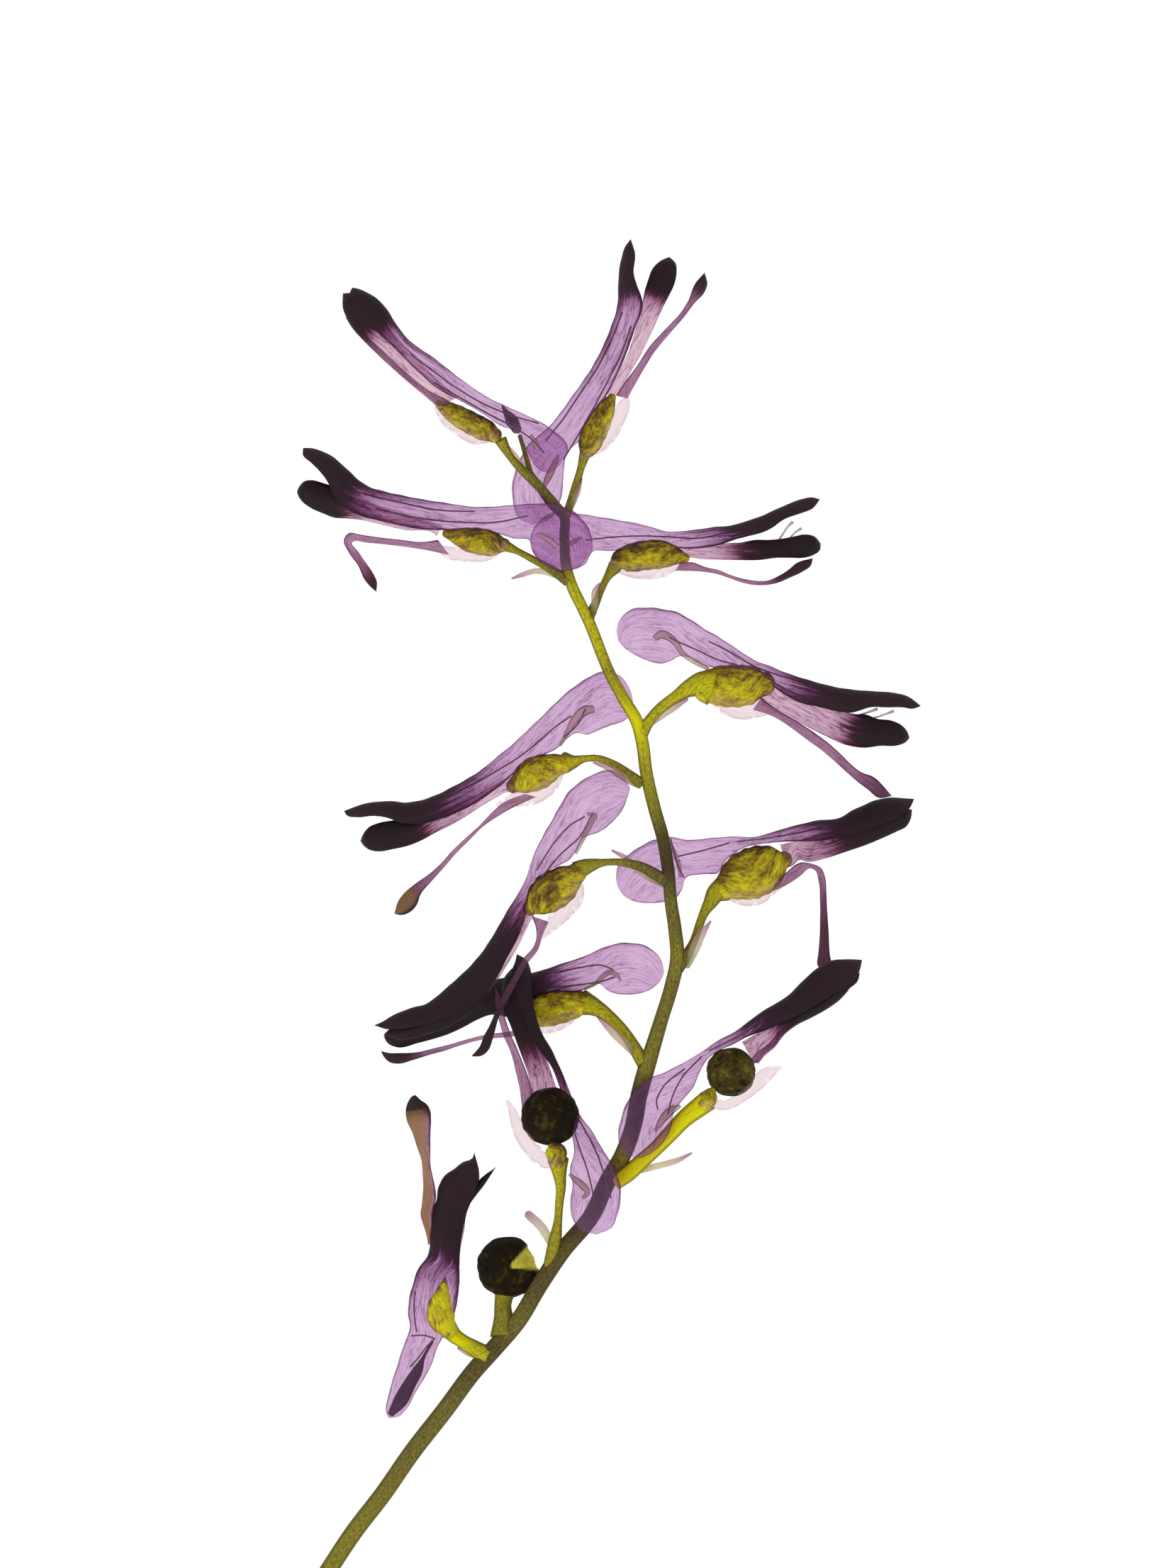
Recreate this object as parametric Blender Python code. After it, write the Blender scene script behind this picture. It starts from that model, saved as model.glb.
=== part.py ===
"""A fumitory raceme, cut and laid on its side: the stem, twelve flowers, a bud and a bare fruit.

The raceme lies in the XY plane with its tip towards +Y, and +Z is up. Places in the plane are read off a photo
taken straight down, so they are given in its pixels, x to the right and y down. The largest corolla's real length
sets the scale. Heights are in millimetres above the surface that the raceme lies on.
"""
import math

import bmesh
import bpy
from mathutils import Vector

MM = 0.001

# Driving dimensions
COROLLA_LENGTH = 10.4 * MM      # largest corolla, from spur to lip
COROLLA_PIXELS = 447            # the same length in the photo
PIXEL = COROLLA_LENGTH / COROLLA_PIXELS
PLANE_CENTRE = (860.6, 1285.9)  # the raceme's middle, in the photo's pixels

# Half-depths, across the plane
HOOD_DEPTH = 0.50 * MM
INNER_DEPTH = 0.36 * MM
LOWER_DEPTH = 0.33 * MM
OVARY_DEPTH = 0.45 * MM
SEPAL_OFFSET = 0.30 * MM
SEPAL_THICKNESS = 0.50 * MM
BRACT_DEPTH = 0.13 * MM
SEPAL_BASE_WIDTH = 7             # pixels, half width where a sepal leaves the receptacle

# How much deeper than wide a slender stretch is
HOOD_RATIO = 1.7
INNER_RATIO = 1.2
LOWER_RATIO = 1.8
OVARY_RATIO = 1.3

PETAL_SIDES = 8
CLAW_SIDES = 6
FRUIT_SEGMENTS = 16
FRUIT_RINGS = 10
SPUR_CAP = (62, 30)             # degrees from the pole to the rings of a round end
PLAIN_CAP = (45,)               # the same, for a small round end
NO_CAP = ()                     # a pointed end
RECEPTACLE_GAP = 4 * PIXEL      # between a stalk's end and its ovary
WELD = 1e-6                     # m, joins a curve's loose caps

# Stem: points as (x, y, radius in pixels, height in millimetres)
RACHIS = [
    (747, 667, 4.5, 2.60), (764, 692, 6, 2.60), (781, 714, 7, 2.60), (795, 728, 7, 2.60), (796, 758, 7, 2.60),
    (799, 800, 7.5, 2.60), (807, 827, 8, 2.60), (820, 854, 8, 2.60), (834, 884, 8, 2.60), (846, 915, 8, 2.60),
    (860, 949, 8, 2.60), (880, 986, 8.5, 2.60), (899, 1019, 9, 2.60), (907, 1052, 9, 2.60), (911, 1085, 9, 2.60),
    (923, 1140, 9, 2.60), (935, 1183, 9, 2.60), (942, 1226, 9, 2.60), (946, 1272, 9, 2.60), (952, 1312, 9.5, 2.60),
    (955, 1352, 10, 2.58), (947, 1392, 10, 2.53), (933, 1438, 10, 2.46), (921, 1478, 11, 2.38),
    (912, 1508, 12, 2.32), (902, 1545, 12, 2.25), (893, 1591, 12, 2.15), (878, 1631, 12, 2.06),
    (857, 1667, 12, 1.97), (835, 1714, 12, 1.86), (793, 1765, 12, 1.74), (760, 1814, 12, 1.62),
    (730, 1864, 12, 1.50), (699, 1900, 12.5, 1.38), (668, 1935, 12.5, 1.24), (629, 1988, 12.5, 1.04),
    (582, 2049, 12.5, 0.82), (541, 2108, 12.5, 0.62), (500, 2161, 12.5, 0.45), (456, 2227, 12.5, 0.285),
]

# Bud at the tip, with its thread-like stalk
BUD = [(715, 583, 5, 2.42), (722, 593, 9, 2.44), (729, 605, 7, 2.46)]
BUD_TIP = (709, 573)
BUD_STALK = [(733, 614, 3, 2.46), (737, 628, 3, 2.50), (742, 645, 3.5, 2.55), (749, 670, 4, 2.60)]

# Bare fruit low on the stem, with the broad beak that points at the stem and the open notch beside it
FRUIT_13_CENTRE = (716, 1788)
FRUIT_13_RADIUS = 43
FRUIT_13_HEIGHT = 1.02 * MM
FRUIT_13_BEAK = [(722, 1792, 30), (742, 1803, 21), (753, 1806, 15)]
FRUIT_13_NOTCH = [(712, 1783, 4), (738, 1768, 16), (775, 1752, 26)]
FRUIT_13_STALK = [(712, 1838, 13, 1.12), (711, 1856, 11, 1.28), (710, 1884, 12, 1.42)]

# Each flower: heights at the spur and at the lip in millimetres, then routes. A petal's points are (x, y, half
# width), a stalk's start at the receptacle and end inside the stem, and a sepal's and bract's run base to tip.
FLOWERS = {
    "01": dict(
        heights=(3.30, 2.50),
        hood=[(771, 634, 33), (745, 608, 21), (700, 583, 16.5), (655, 556, 16), (610, 523, 15.5), (575, 487, 13),
              (539, 449, 12.5), (515, 423, 11)],
        lip_tip=(499, 407),
        inner=[(604, 549, 6.5), (572, 515, 8), (546, 487, 8), (524, 463, 9), (506, 443, 9.5), (495, 430, 9)],
        lower=[(608, 562, 3), (573, 532, 3), (543, 505, 3), (516, 479, 3.5), (499, 460, 3.5)],
        lower_tip=(488, 449),
        ovary=[(691, 611, 10), (660, 593, 10), (632, 576, 9), (619, 567, 6)],
        sepal=[(662, 608, 13), (636, 592, 12), (618, 577, 5)],
        stalk=[(706, 624, 6), (722, 648, 4.5), (746, 669, 5), (770, 695, 5.5), (794, 722, 5)],
        bract=[(750, 676, 3), (733, 655, 4), (717, 634, 2)],
    ),
    "02": dict(
        heights=(1.86, 1.00),
        hood=[(758, 700, 37), (764, 664, 33), (781, 632, 24), (807, 588, 18.5), (829, 552, 18), (852, 512, 18),
              (871, 472, 16.5), (883, 434, 13.5), (883.5, 403, 12), (885, 375, 11.5), (889, 353, 8)],
        lip_tip=(893, 338),
        inner=[(867, 545, 8), (884, 512, 11), (906, 471, 12), (927, 432, 13), (931, 407, 18.5), (936, 384, 20.5)],
        lower=[(886, 553, 4), (907, 521, 4), (931, 482, 3.5), (965, 447, 4), (983, 418, 7), (989, 402, 9)],
        lower_tip=(993, 384),
        ovary=[(830, 620, 11), (842, 597, 14), (854, 574, 13), (861, 560, 8)],
        sepal=[(862, 598, 12), (877, 572, 10), (884, 559, 5)],
        stalk=[(824, 640, 6), (815, 675, 5), (808, 702, 5), (799, 728, 5)],
        bract=[(803, 722, 3), (817, 695, 4), (824, 672, 2)],
    ),
    "03": dict(
        heights=(3.34, 2.30),
        hood=[(796, 762, 43), (766, 757, 41), (746, 741, 28), (715, 737.5, 23), (665, 731, 16), (600, 722, 13.5),
              (546, 708, 13), (508, 692, 12.5), (478, 669, 12), (456, 653, 11.5), (440, 643, 10)],
        lip_tip=(428, 634),
        inner=[(610, 745, 7.5), (575, 738, 10), (535, 728, 11), (505, 723, 14), (478, 713, 19), (443, 701, 22)],
        lower=[(610, 763, 4), (575, 767, 3), (537, 765, 3), (502, 757, 3.5), (490, 767, 4), (494, 785, 4.5),
               (508, 806, 7), (520, 819, 7.5)],
        lower_tip=(531, 836),
        ovary=[(702, 770, 11), (678, 765, 14), (652, 761, 13), (629, 756, 8)],
        sepal=[(672, 780, 11), (642, 778, 10), (616, 771, 4)],
        stalk=[(712, 773, 7), (728, 780, 4.5), (749, 790, 4.5), (780, 806, 5), (801, 818, 5)],
        bract=[(795, 819, 4), (776, 812, 5), (749, 809, 4.5), (728, 817, 2.5)],
    ),
    "04": dict(
        heights=(1.20, 0.29),
        hood=[(790, 762, 43), (817, 758, 40), (838, 751, 27), (868, 754, 24), (900, 753, 16), (935, 757, 11.5),
              (985, 758, 11), (1032, 750, 11.5), (1073, 739, 12), (1108, 726, 12), (1137, 712, 10)],
        lip_tip=(1156, 706),
        inner=[(972, 782, 7), (1000, 780, 8.5), (1032, 780, 10), (1070, 776, 12.5), (1105, 773, 15),
               (1136, 771, 18)],
        lower=[(966, 799, 4), (1007, 802, 3), (1047, 816, 3.5), (1078, 821, 4), (1104, 816, 6), (1127, 803, 6)],
        lower_tip=(1146, 792),
        ovary=[(880, 791, 11), (905, 788, 14), (930, 785, 14), (955, 785, 9)],
        sepal=[(912, 806, 11), (940, 804, 11), (958, 798, 4)],
        stalk=[(871, 794, 8), (859, 806, 5), (847, 830, 5), (839, 850, 6), (832, 872, 6)],
        bract=[(838, 862, 4), (841, 845, 5), (841, 830, 2.5)],
    ),
    "05": dict(
        heights=(2.60, 1.85),
        hood=[(907, 893, 36), (930, 897, 38), (951, 899, 32), (973, 906, 24.5), (998, 917, 20), (1035, 931, 13),
              (1070, 946, 11.5), (1110, 960, 13), (1150, 973, 14), (1185, 981, 13.5), (1220, 987, 13.5),
              (1255, 989, 12.5), (1278, 990, 9)],
        lip_tip=(1299, 996),
        inner=[(1092, 979, 9), (1118, 992, 14), (1150, 1009, 17), (1185, 1026, 20), (1218, 1034, 21),
               (1259, 1036, 20)],
        lower=[(1089, 1004, 4), (1110, 1014, 5.5), (1140, 1034, 6.5), (1166, 1055, 7.5), (1190, 1077, 7.5),
               (1212, 1095, 8), (1235, 1107, 9)],
        lower_tip=(1258, 1119),
        ovary=[(1000, 967, 17), (1022, 971, 20), (1046, 974, 20), (1070, 976, 13)],
        sepal=[(1035, 995, 16), (1062, 996, 14), (1083, 991, 5)],
        stalk=[(993, 966, 15), (979, 969, 12), (965, 976, 9), (944, 989, 7), (924, 1006, 7), (903, 1030, 8)],
        bract=[(912, 1025, 4), (929, 1015, 5), (949, 1002, 5), (969, 989, 2.5)],
    ),
    "06": dict(
        heights=(1.76, 0.22),
        hood=[(853, 990, 41), (830, 999, 37), (806, 1013, 30), (786, 1027, 25), (763, 1040, 19), (727, 1065, 14),
              (692, 1094, 13), (656, 1115, 13), (618, 1132, 12.5), (584, 1142, 12), (550, 1143, 11.5),
              (525, 1142, 11), (503, 1143, 7.5)],
        lip_tip=(485, 1146),
        inner=[(700, 1113, 6.5), (667, 1136, 10), (628, 1157, 12.5), (594, 1170, 15), (562, 1178, 20),
               (534, 1181, 21)],
        lower=[(729, 1131, 4), (708, 1144, 4.5), (680, 1166, 3.5), (650, 1194, 3.5), (625, 1221, 4.5),
               (598, 1248, 7.5), (577, 1269, 8)],
        lower_tip=(558, 1291),
        ovary=[(787, 1080, 12), (768, 1087, 16), (748, 1097, 17), (728, 1108, 10)],
        sepal=[(768, 1112, 13), (743, 1122, 13), (720, 1126, 5)],
        stalk=[(795, 1077, 11), (808, 1072, 8), (832, 1069, 4.5), (856, 1072, 5), (880, 1087, 6), (908, 1106, 7)],
        bract=[(902, 1109, 4), (884, 1100, 5), (862, 1087, 5), (841, 1079, 2)],
    ),
    "07": dict(
        heights=(3.05, 3.05),
        hood=[(856, 1121, 32), (838, 1136, 34), (821, 1151, 31), (806, 1167, 26), (789, 1193, 22), (768, 1220, 13),
              (751, 1246, 10.5), (729, 1290, 12), (707, 1325, 13), (670, 1375, 13.5), (635, 1410, 14),
              (596, 1431, 13), (564, 1438, 10.5)],
        lip_tip=(529, 1445),
        inner=[(746, 1303, 7), (727, 1339, 9), (689, 1393, 11), (655, 1430, 12.5), (614, 1455, 13),
               (584, 1463, 14), (560, 1465, 13)],
        lower=[(777, 1310, 4), (753, 1344, 3.5), (735, 1374, 3.5), (715, 1410, 3.5), (701, 1444, 4.5),
               (694, 1466, 6), (684, 1480, 5.5)],
        lower_tip=(666, 1491),
        ovary=[(808, 1226, 12), (794, 1243, 19), (778, 1262, 20), (761, 1284, 12)],
        sepal=[(800, 1272, 14), (782, 1292, 13), (766, 1302, 5)],
        stalk=[(813, 1222, 12), (826, 1224, 12), (841, 1221, 7), (856, 1217, 5), (875, 1218, 5), (900, 1223, 6),
               (922, 1233, 7), (940, 1243, 7)],
        bract=[(936, 1246, 4), (906, 1234, 5), (882, 1213, 5), (866, 1202, 1.5)],
    ),
    "08": dict(
        heights=(1.35, 0.27),
        hood=[(900, 1366, 37), (872, 1367, 36), (850, 1365, 27), (822, 1371, 22), (790, 1377, 16), (757, 1383, 12),
              (720, 1387, 12), (680, 1396, 13), (640, 1408, 13), (600, 1424, 12.5), (570, 1434, 10)],
        lip_tip=(546, 1446),
        inner=[(726, 1421, 8), (702, 1424, 9.5), (670, 1434, 11), (637, 1444, 12), (604, 1455, 13), (576, 1462, 14)],
        lower=[(745, 1448, 3.5), (707, 1460, 3.5), (679, 1464, 3), (646, 1472, 3.5), (612, 1483, 4.5),
               (585, 1490, 6.5), (562, 1493, 7)],
        lower_tip=(538, 1483),
        ovary=[(812, 1418, 14), (790, 1419, 19), (768, 1419, 19), (747, 1419, 10)],
        sepal=[(793, 1444, 13), (772, 1448, 12), (752, 1440, 5)],
        stalk=[(818, 1416, 15), (833, 1417, 13), (848, 1425, 8), (863, 1437, 6.5), (883, 1460, 7), (905, 1486, 9),
               (912, 1508, 10)],
        bract=[(900, 1486, 5), (884, 1472, 6), (866, 1457, 6), (849, 1438, 2)],
    ),
    "09": dict(
        heights=(1.76, 0.27),
        hood=[(911, 1232, 41), (940, 1228, 42), (962, 1214, 30), (985, 1210, 26), (1010, 1205, 23), (1035, 1196, 15),
              (1062, 1190, 9.5), (1090, 1185, 10), (1118, 1178, 13), (1155, 1171, 13.5), (1190, 1165, 13.5),
              (1222, 1150, 14), (1250, 1140, 13), (1272, 1137, 10)],
        lip_tip=(1290, 1128),
        inner=[(1118, 1205, 8), (1136, 1200, 10.5), (1160, 1197, 11.5), (1196, 1190, 11), (1228, 1177, 12),
               (1252, 1168, 13), (1268, 1160, 12)],
        lower=[(1117, 1243, 3.5), (1134, 1233, 4), (1149, 1224, 4.5), (1159, 1234, 5), (1161, 1260, 5),
               (1161, 1300, 5), (1163, 1340, 6.5), (1163, 1357, 7)],
        lower_tip=(1164, 1374),
        ovary=[(1014, 1246, 13), (1036, 1240, 26), (1062, 1232, 28), (1087, 1225, 23), (1099, 1222, 15)],
        sepal=[(1050, 1267, 12), (1080, 1257, 12), (1104, 1242, 4)],
        stalk=[(1018, 1250, 13), (1008, 1258, 10), (996, 1277, 6), (984, 1306, 5.5), (974, 1335, 6),
               (958, 1364, 8)],
        bract=[(966, 1364, 4), (978, 1346, 6), (990, 1319, 6), (1002, 1300, 2)],
    ),
    "10": dict(
        heights=(3.05, 2.20),
        hood=[(894, 1605, 22), (904, 1582, 29), (920, 1556, 32), (940, 1540, 29), (962, 1526, 23), (985, 1509, 19),
              (1008, 1484, 9.5), (1033, 1467, 8), (1057, 1455, 10), (1081, 1439, 13), (1114, 1420, 14),
              (1133, 1402, 14.5), (1151, 1385, 15), (1178, 1369, 14), (1197, 1361, 9)],
        lip_tip=(1215, 1353),
        inner=[(1075, 1474, 7), (1095, 1455, 7.5), (1129, 1436, 8), (1149, 1419, 8.5), (1168, 1402, 9),
               (1191, 1387, 9)],
        lower=[(1084, 1487, 3.5), (1104, 1467, 3), (1136, 1447, 2.5), (1158, 1430, 2.5), (1180, 1413, 3)],
        lower_tip=(1195, 1400),
        fruit=((1034, 1518), 30),
        ovary=[(990, 1550, 13), (1003, 1545, 9), (1003, 1540, 4)],
        sepal=[(1040, 1557, 6), (1067, 1532, 8), (1085, 1515, 7), (1094, 1509, 2)],
        stalk=[(987, 1552, 14), (972, 1566, 11), (950, 1587, 9), (927, 1609, 8.5), (909, 1627, 9), (888, 1646, 11),
               (868, 1667, 11)],
        bract=[(890, 1650, 5), (912, 1645, 5), (940, 1638, 4), (972, 1628, 1.5)],
    ),
    "11": dict(
        heights=(3.00, 1.90),
        hood=[(841, 1706, 36), (838, 1682, 34), (835, 1655, 27), (830, 1622, 15), (826, 1592, 8), (820, 1563, 7),
              (800, 1530, 9.5), (782, 1496, 10), (765, 1465, 10.5), (750, 1435, 11), (743, 1405, 11), (739, 1378, 9)],
        lip_tip=(730, 1348),
        inner=[(761, 1520, 7), (752, 1490, 12), (733, 1458, 12), (721, 1428, 11), (716, 1400, 11), (715, 1388, 10)],
        lower=[(730, 1548, 4), (731, 1525, 5), (727, 1495, 5), (712, 1465, 3.5), (702, 1435, 3.5), (699, 1410, 5)],
        lower_tip=(698, 1392),
        fruit=((775, 1576), 36),
        ovary=[(788, 1633, 12), (786, 1625, 11), (784, 1620, 5)],
        sepal=[(760, 1624, 6), (736, 1600, 6), (727, 1575, 6), (720, 1560, 2)],
        stalk=[(788, 1632, 13), (788, 1648, 8.5), (788, 1685, 6), (786, 1720, 5.5), (783, 1749, 8), (776, 1785, 9)],
        bract=[(782, 1757, 6), (775, 1745, 7), (762, 1729, 6.5), (748, 1714, 6)],
    ),
    "12": dict(
        heights=(0.95, 1.10),
        hood=[(556, 1990, 12), (563, 1970, 17), (582, 1935, 21), (597, 1903, 21), (591, 1873, 14), (591, 1840, 12),
              (598, 1805, 13), (611, 1765, 13), (621, 1730, 14), (631, 1698, 15), (644, 1665, 16), (657, 1645, 12)],
        lip_tip=(669, 1627),
        inner=[(634, 1790, 7), (642, 1760, 8.5), (647, 1728, 9.5), (657, 1700, 9.5), (673, 1674, 9), (685, 1660, 6)],
        lower=[(589, 1745, 3), (596, 1722, 5), (600, 1695, 8), (601, 1665, 8), (598, 1630, 8), (592, 1592, 15),
               (589, 1570, 17.5)],
        lower_tip=(587, 1546),
        ovary=[(636, 1866, 12), (630, 1850, 14), (628, 1830, 11), (628, 1815, 6)],
        sepal=[(618, 1862, 9), (614, 1846, 5)],
        stalk=[(636, 1866, 9), (645, 1884, 10), (660, 1894, 10), (680, 1905, 11), (700, 1908, 9)],
        bract=[(678, 1908, 5), (663, 1904, 7), (650, 1898, 4)],
    ),
}

# Finishes: colour and roughness
STEM_GREEN = ((0.30, 0.34, 0.04), 0.5)
HOOD_LILAC = ((0.47, 0.25, 0.55), 0.5)
INNER_ROSE = ((0.34, 0.16, 0.30), 0.5)
LOWER_MAUVE = ((0.27, 0.12, 0.28), 0.5)
CALYX_OLIVE = ((0.28, 0.27, 0.05), 0.6)
FRUIT_BROWN = ((0.045, 0.040, 0.020), 0.6)
BUD_PLUM = ((0.06, 0.03, 0.06), 0.6)


def clear_scene():
    for obj in list(bpy.data.objects):
        bpy.data.objects.remove(obj, do_unlink=True)


def new_collection(name):
    collection = bpy.data.collections.new(name)
    bpy.context.scene.collection.children.link(collection)
    return collection


def material(name, finish):
    colour, roughness = finish
    mat = bpy.data.materials.new(name)
    mat.use_nodes = True
    shader = mat.node_tree.nodes["Principled BSDF"]
    shader.inputs["Base Color"].default_value = (*colour, 1.0)
    shader.inputs["Roughness"].default_value = roughness
    shader.inputs["Metallic"].default_value = 0.0
    return mat


def place(x, y, height=0.0):
    """A point of the photo at a height in metres, in the raceme's own frame."""
    return Vector(((x - PLANE_CENTRE[0]) * PIXEL, (PLANE_CENTRE[1] - y) * PIXEL, height))


def height_rule(flower):
    """Heights run evenly from the spur to the lip's tip, for every organ of a flower."""
    back, front = (h * MM for h in flower["heights"])
    start = Vector(flower["hood"][0][:2])
    axis = Vector(flower["lip_tip"]) - start

    def height(x, y):
        along = (Vector((x, y)) - start).dot(axis) / axis.length_squared
        return back + (front - back) * min(max(along, 0.0), 1.0)
    return height


def tangent(points, index):
    before = points[max(index - 1, 0)]
    after = points[min(index + 1, len(points) - 1)]
    flat = Vector((after.x - before.x, after.y - before.y, 0.0))
    return flat.normalized()


def stations(route, height, depth, ratio):
    """Centres, half-widths and half-depths in metres from a route of (x, y, half width in pixels)."""
    centres = [place(x, y, height(x, y)) for x, y, _ in route]
    widths = [width * PIXEL for _, _, width in route]
    depths = [min(depth, width * ratio) for width in widths]
    return centres, widths, depths


def round_end(section, direction, angles):
    """Rings that close a loft past its end section in a rounded cap, from the section outwards."""
    centre, along, half_width, half_depth = section
    rings = []
    for angle in angles:
        out = math.cos(math.radians(angle))
        size = math.sin(math.radians(angle))
        rings.append((centre + along * direction * half_width * out, along, half_width * size, half_depth * size))
    return rings


def section_list(centres, widths, depths, tip, caps):
    """Sections of a loft: (centre, tangent, half width, half depth), with round ends or a pointed tip."""
    sections = [(c, tangent(centres, i), widths[i], depths[i]) for i, c in enumerate(centres)]
    first, last = sections[0], sections[-1]
    start = round_end(first, -1, caps)[::-1]
    end = [] if tip else round_end(last, 1, caps)
    poles = (first[0] - first[1] * first[2], tip or last[0] + last[1] * last[2])
    return start + sections + end, poles


def loft_mesh(name, sections, poles, sides, lift=0.0):
    """One closed skin through the sections, each an ellipse across the route, with a pole at either end."""
    bm = bmesh.new()
    rings = []
    for centre, along, half_width, half_depth in sections:
        across = Vector((-along.y, along.x, 0.0))
        ring = []
        for k in range(sides):
            angle = 2 * math.pi * (k + 0.5) / sides
            offset = across * half_width * math.cos(angle) + Vector((0, 0, half_depth * math.sin(angle) + lift))
            ring.append(bm.verts.new(centre + offset))
        rings.append(ring)
    lifted = Vector((0, 0, lift))
    first, last = bm.verts.new(poles[0] + lifted), bm.verts.new(poles[1] + lifted)
    for a, b in zip(rings, rings[1:]):
        for k in range(sides):
            bm.faces.new((a[k], a[(k + 1) % sides], b[(k + 1) % sides], b[k]))
    for k in range(sides):
        bm.faces.new((first, rings[0][(k + 1) % sides], rings[0][k]))
        bm.faces.new((last, rings[-1][k], rings[-1][(k + 1) % sides]))
    for vert in bm.verts:
        vert.co.z = max(vert.co.z, 0.0)
    bmesh.ops.triangulate(bm, faces=bm.faces)
    bmesh.ops.recalc_face_normals(bm, faces=bm.faces)
    mesh = bpy.data.meshes.new(name)
    bm.to_mesh(mesh)
    bm.free()
    mesh.shade_smooth()
    return mesh


def add_object(name, mesh, collection, mat=None):
    obj = bpy.data.objects.new(name, mesh)
    collection.objects.link(obj)
    if mat:
        obj.data.materials.clear()
        obj.data.materials.append(mat)
    return obj


def loft(name, route, height, depth, ratio, collection, mat=None, tip=None, sides=PETAL_SIDES, lift=0.0,
         caps=PLAIN_CAP):
    centres, widths, depths = stations(route, height, depth, ratio)
    tip_point = place(*tip, height(*tip)) if tip else None
    sections, poles = section_list(centres, widths, depths, tip_point, caps)
    return add_object(name, loft_mesh(name, sections, poles, sides, lift), collection, mat)


def lifted(route):
    """A stalk's points in metres from (x, y, radius in pixels, height in millimetres)."""
    return [(*place(x, y, height * MM), radius) for x, y, radius, height in route]


def leaf(name, route, height, depth, collection, lift=0.0):
    """A bract or sepal: its route's last point is its pointed tip."""
    return loft(name, route[:-1], height, depth, LOWER_RATIO, collection, tip=route[-1][:2], sides=CLAW_SIDES,
                lift=lift, caps=NO_CAP)


def tube(name, points, collection):
    """A stalk through (x, y, z, radius in pixels), as a closed mesh."""
    curve = bpy.data.curves.new(name, "CURVE")
    curve.dimensions = "3D"
    curve.bevel_depth = PIXEL
    curve.bevel_resolution = 2
    curve.use_fill_caps = True
    spline = curve.splines.new("POLY")
    spline.points.add(len(points) - 1)
    for point, (x, y, z, radius) in zip(spline.points, points):
        point.co = (x, y, z, 1.0)
        point.radius = radius
    guide = bpy.data.objects.new(name + "_guide", curve)
    collection.objects.link(guide)
    depsgraph = bpy.context.evaluated_depsgraph_get()
    mesh = bpy.data.meshes.new_from_object(guide.evaluated_get(depsgraph))
    bm = bmesh.new()
    bm.from_mesh(mesh)
    bmesh.ops.remove_doubles(bm, verts=bm.verts, dist=WELD)
    for vert in bm.verts:
        vert.co.z = max(vert.co.z, 0.0)
    bmesh.ops.triangulate(bm, faces=bm.faces)
    bm.to_mesh(mesh)
    bm.free()
    bpy.data.objects.remove(guide, do_unlink=True)
    return add_object(name, mesh, collection)


def ball(name, centre, radius, flatten, collection, mat=None):
    bm = bmesh.new()
    bmesh.ops.create_uvsphere(bm, u_segments=FRUIT_SEGMENTS, v_segments=FRUIT_RINGS, radius=radius)
    for vert in bm.verts:
        vert.co.z *= flatten
        vert.co += centre
        vert.co.z = max(vert.co.z, 0.0)
    bmesh.ops.triangulate(bm, faces=bm.faces)
    mesh = bpy.data.meshes.new(name)
    bm.to_mesh(mesh)
    bm.free()
    mesh.shade_smooth()
    return add_object(name, mesh, collection, mat)


def fuse(target, pieces, operation="UNION"):
    """Joins or cuts the target with the pieces, applies it and removes them."""
    tools = new_collection(target.name + "_tools")
    for piece in pieces:
        for collection in list(piece.users_collection):
            collection.objects.unlink(piece)
        tools.objects.link(piece)
        piece.display_type = "WIRE"
        piece.hide_render = True
    boolean = target.modifiers.new("Join", "BOOLEAN")
    boolean.operation = operation
    boolean.operand_type = "COLLECTION"
    boolean.collection = tools
    boolean.solver = "EXACT"
    depsgraph = bpy.context.evaluated_depsgraph_get()
    joined = bpy.data.meshes.new_from_object(target.evaluated_get(depsgraph))
    mats = [slot.material for slot in target.material_slots]
    target.modifiers.clear()
    target.data = joined
    target.data.materials.clear()
    for mat in mats:
        target.data.materials.append(mat)
    for piece in list(tools.objects):
        bpy.data.objects.remove(piece, do_unlink=True)
    bpy.data.collections.remove(tools)


def stem_height(x, y):
    """The stem's height beside a point of the photo."""
    nearest = min(RACHIS, key=lambda p: (p[0] - x) ** 2 + (p[1] - y) ** 2)
    return nearest[3] * MM


def stalk_points(flower, height):
    """A stalk from just outside its ovary's end to the stem, its heights running evenly between."""
    base = place(*flower["ovary"][0][:2])
    axis = (place(*flower["ovary"][1][:2]) - base).normalized()
    start = base - axis * (flower["ovary"][0][2] * PIXEL + RECEPTACLE_GAP)
    route = [(place(x, y), radius) for x, y, radius in flower["stalk"]]
    behind = [(point, radius) for point, radius in route[1:] if (start - point).dot(axis) > PIXEL]
    line = [(start, route[0][1])] + behind
    top = height(*flower["ovary"][0][:2])
    foot = stem_height(*flower["stalk"][-1][:2])
    points = []
    for i, (point, radius) in enumerate(line):
        share = i / (len(line) - 1)
        points.append((point.x, point.y, top + (foot - top) * share, radius))
    return points


def make_stem(parts):
    mat = material("stem", STEM_GREEN)
    stem = tube("stem", lifted(RACHIS), parts)
    stem.data.materials.append(mat)
    pieces = [tube("bud_stalk", lifted(BUD_STALK), parts), tube("fruit_13_stalk", lifted(FRUIT_13_STALK), parts)]
    for number, flower in FLOWERS.items():
        pieces.append(tube("stalk_" + number, stalk_points(flower, height_rule(flower)), parts))
        base = stem_height(*flower["bract"][0][:2])
        pieces.append(leaf("bract_" + number, flower["bract"], lambda x, y, h=base: h, BRACT_DEPTH, parts))
    fuse(stem, pieces)
    stem.data.shade_smooth()


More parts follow.
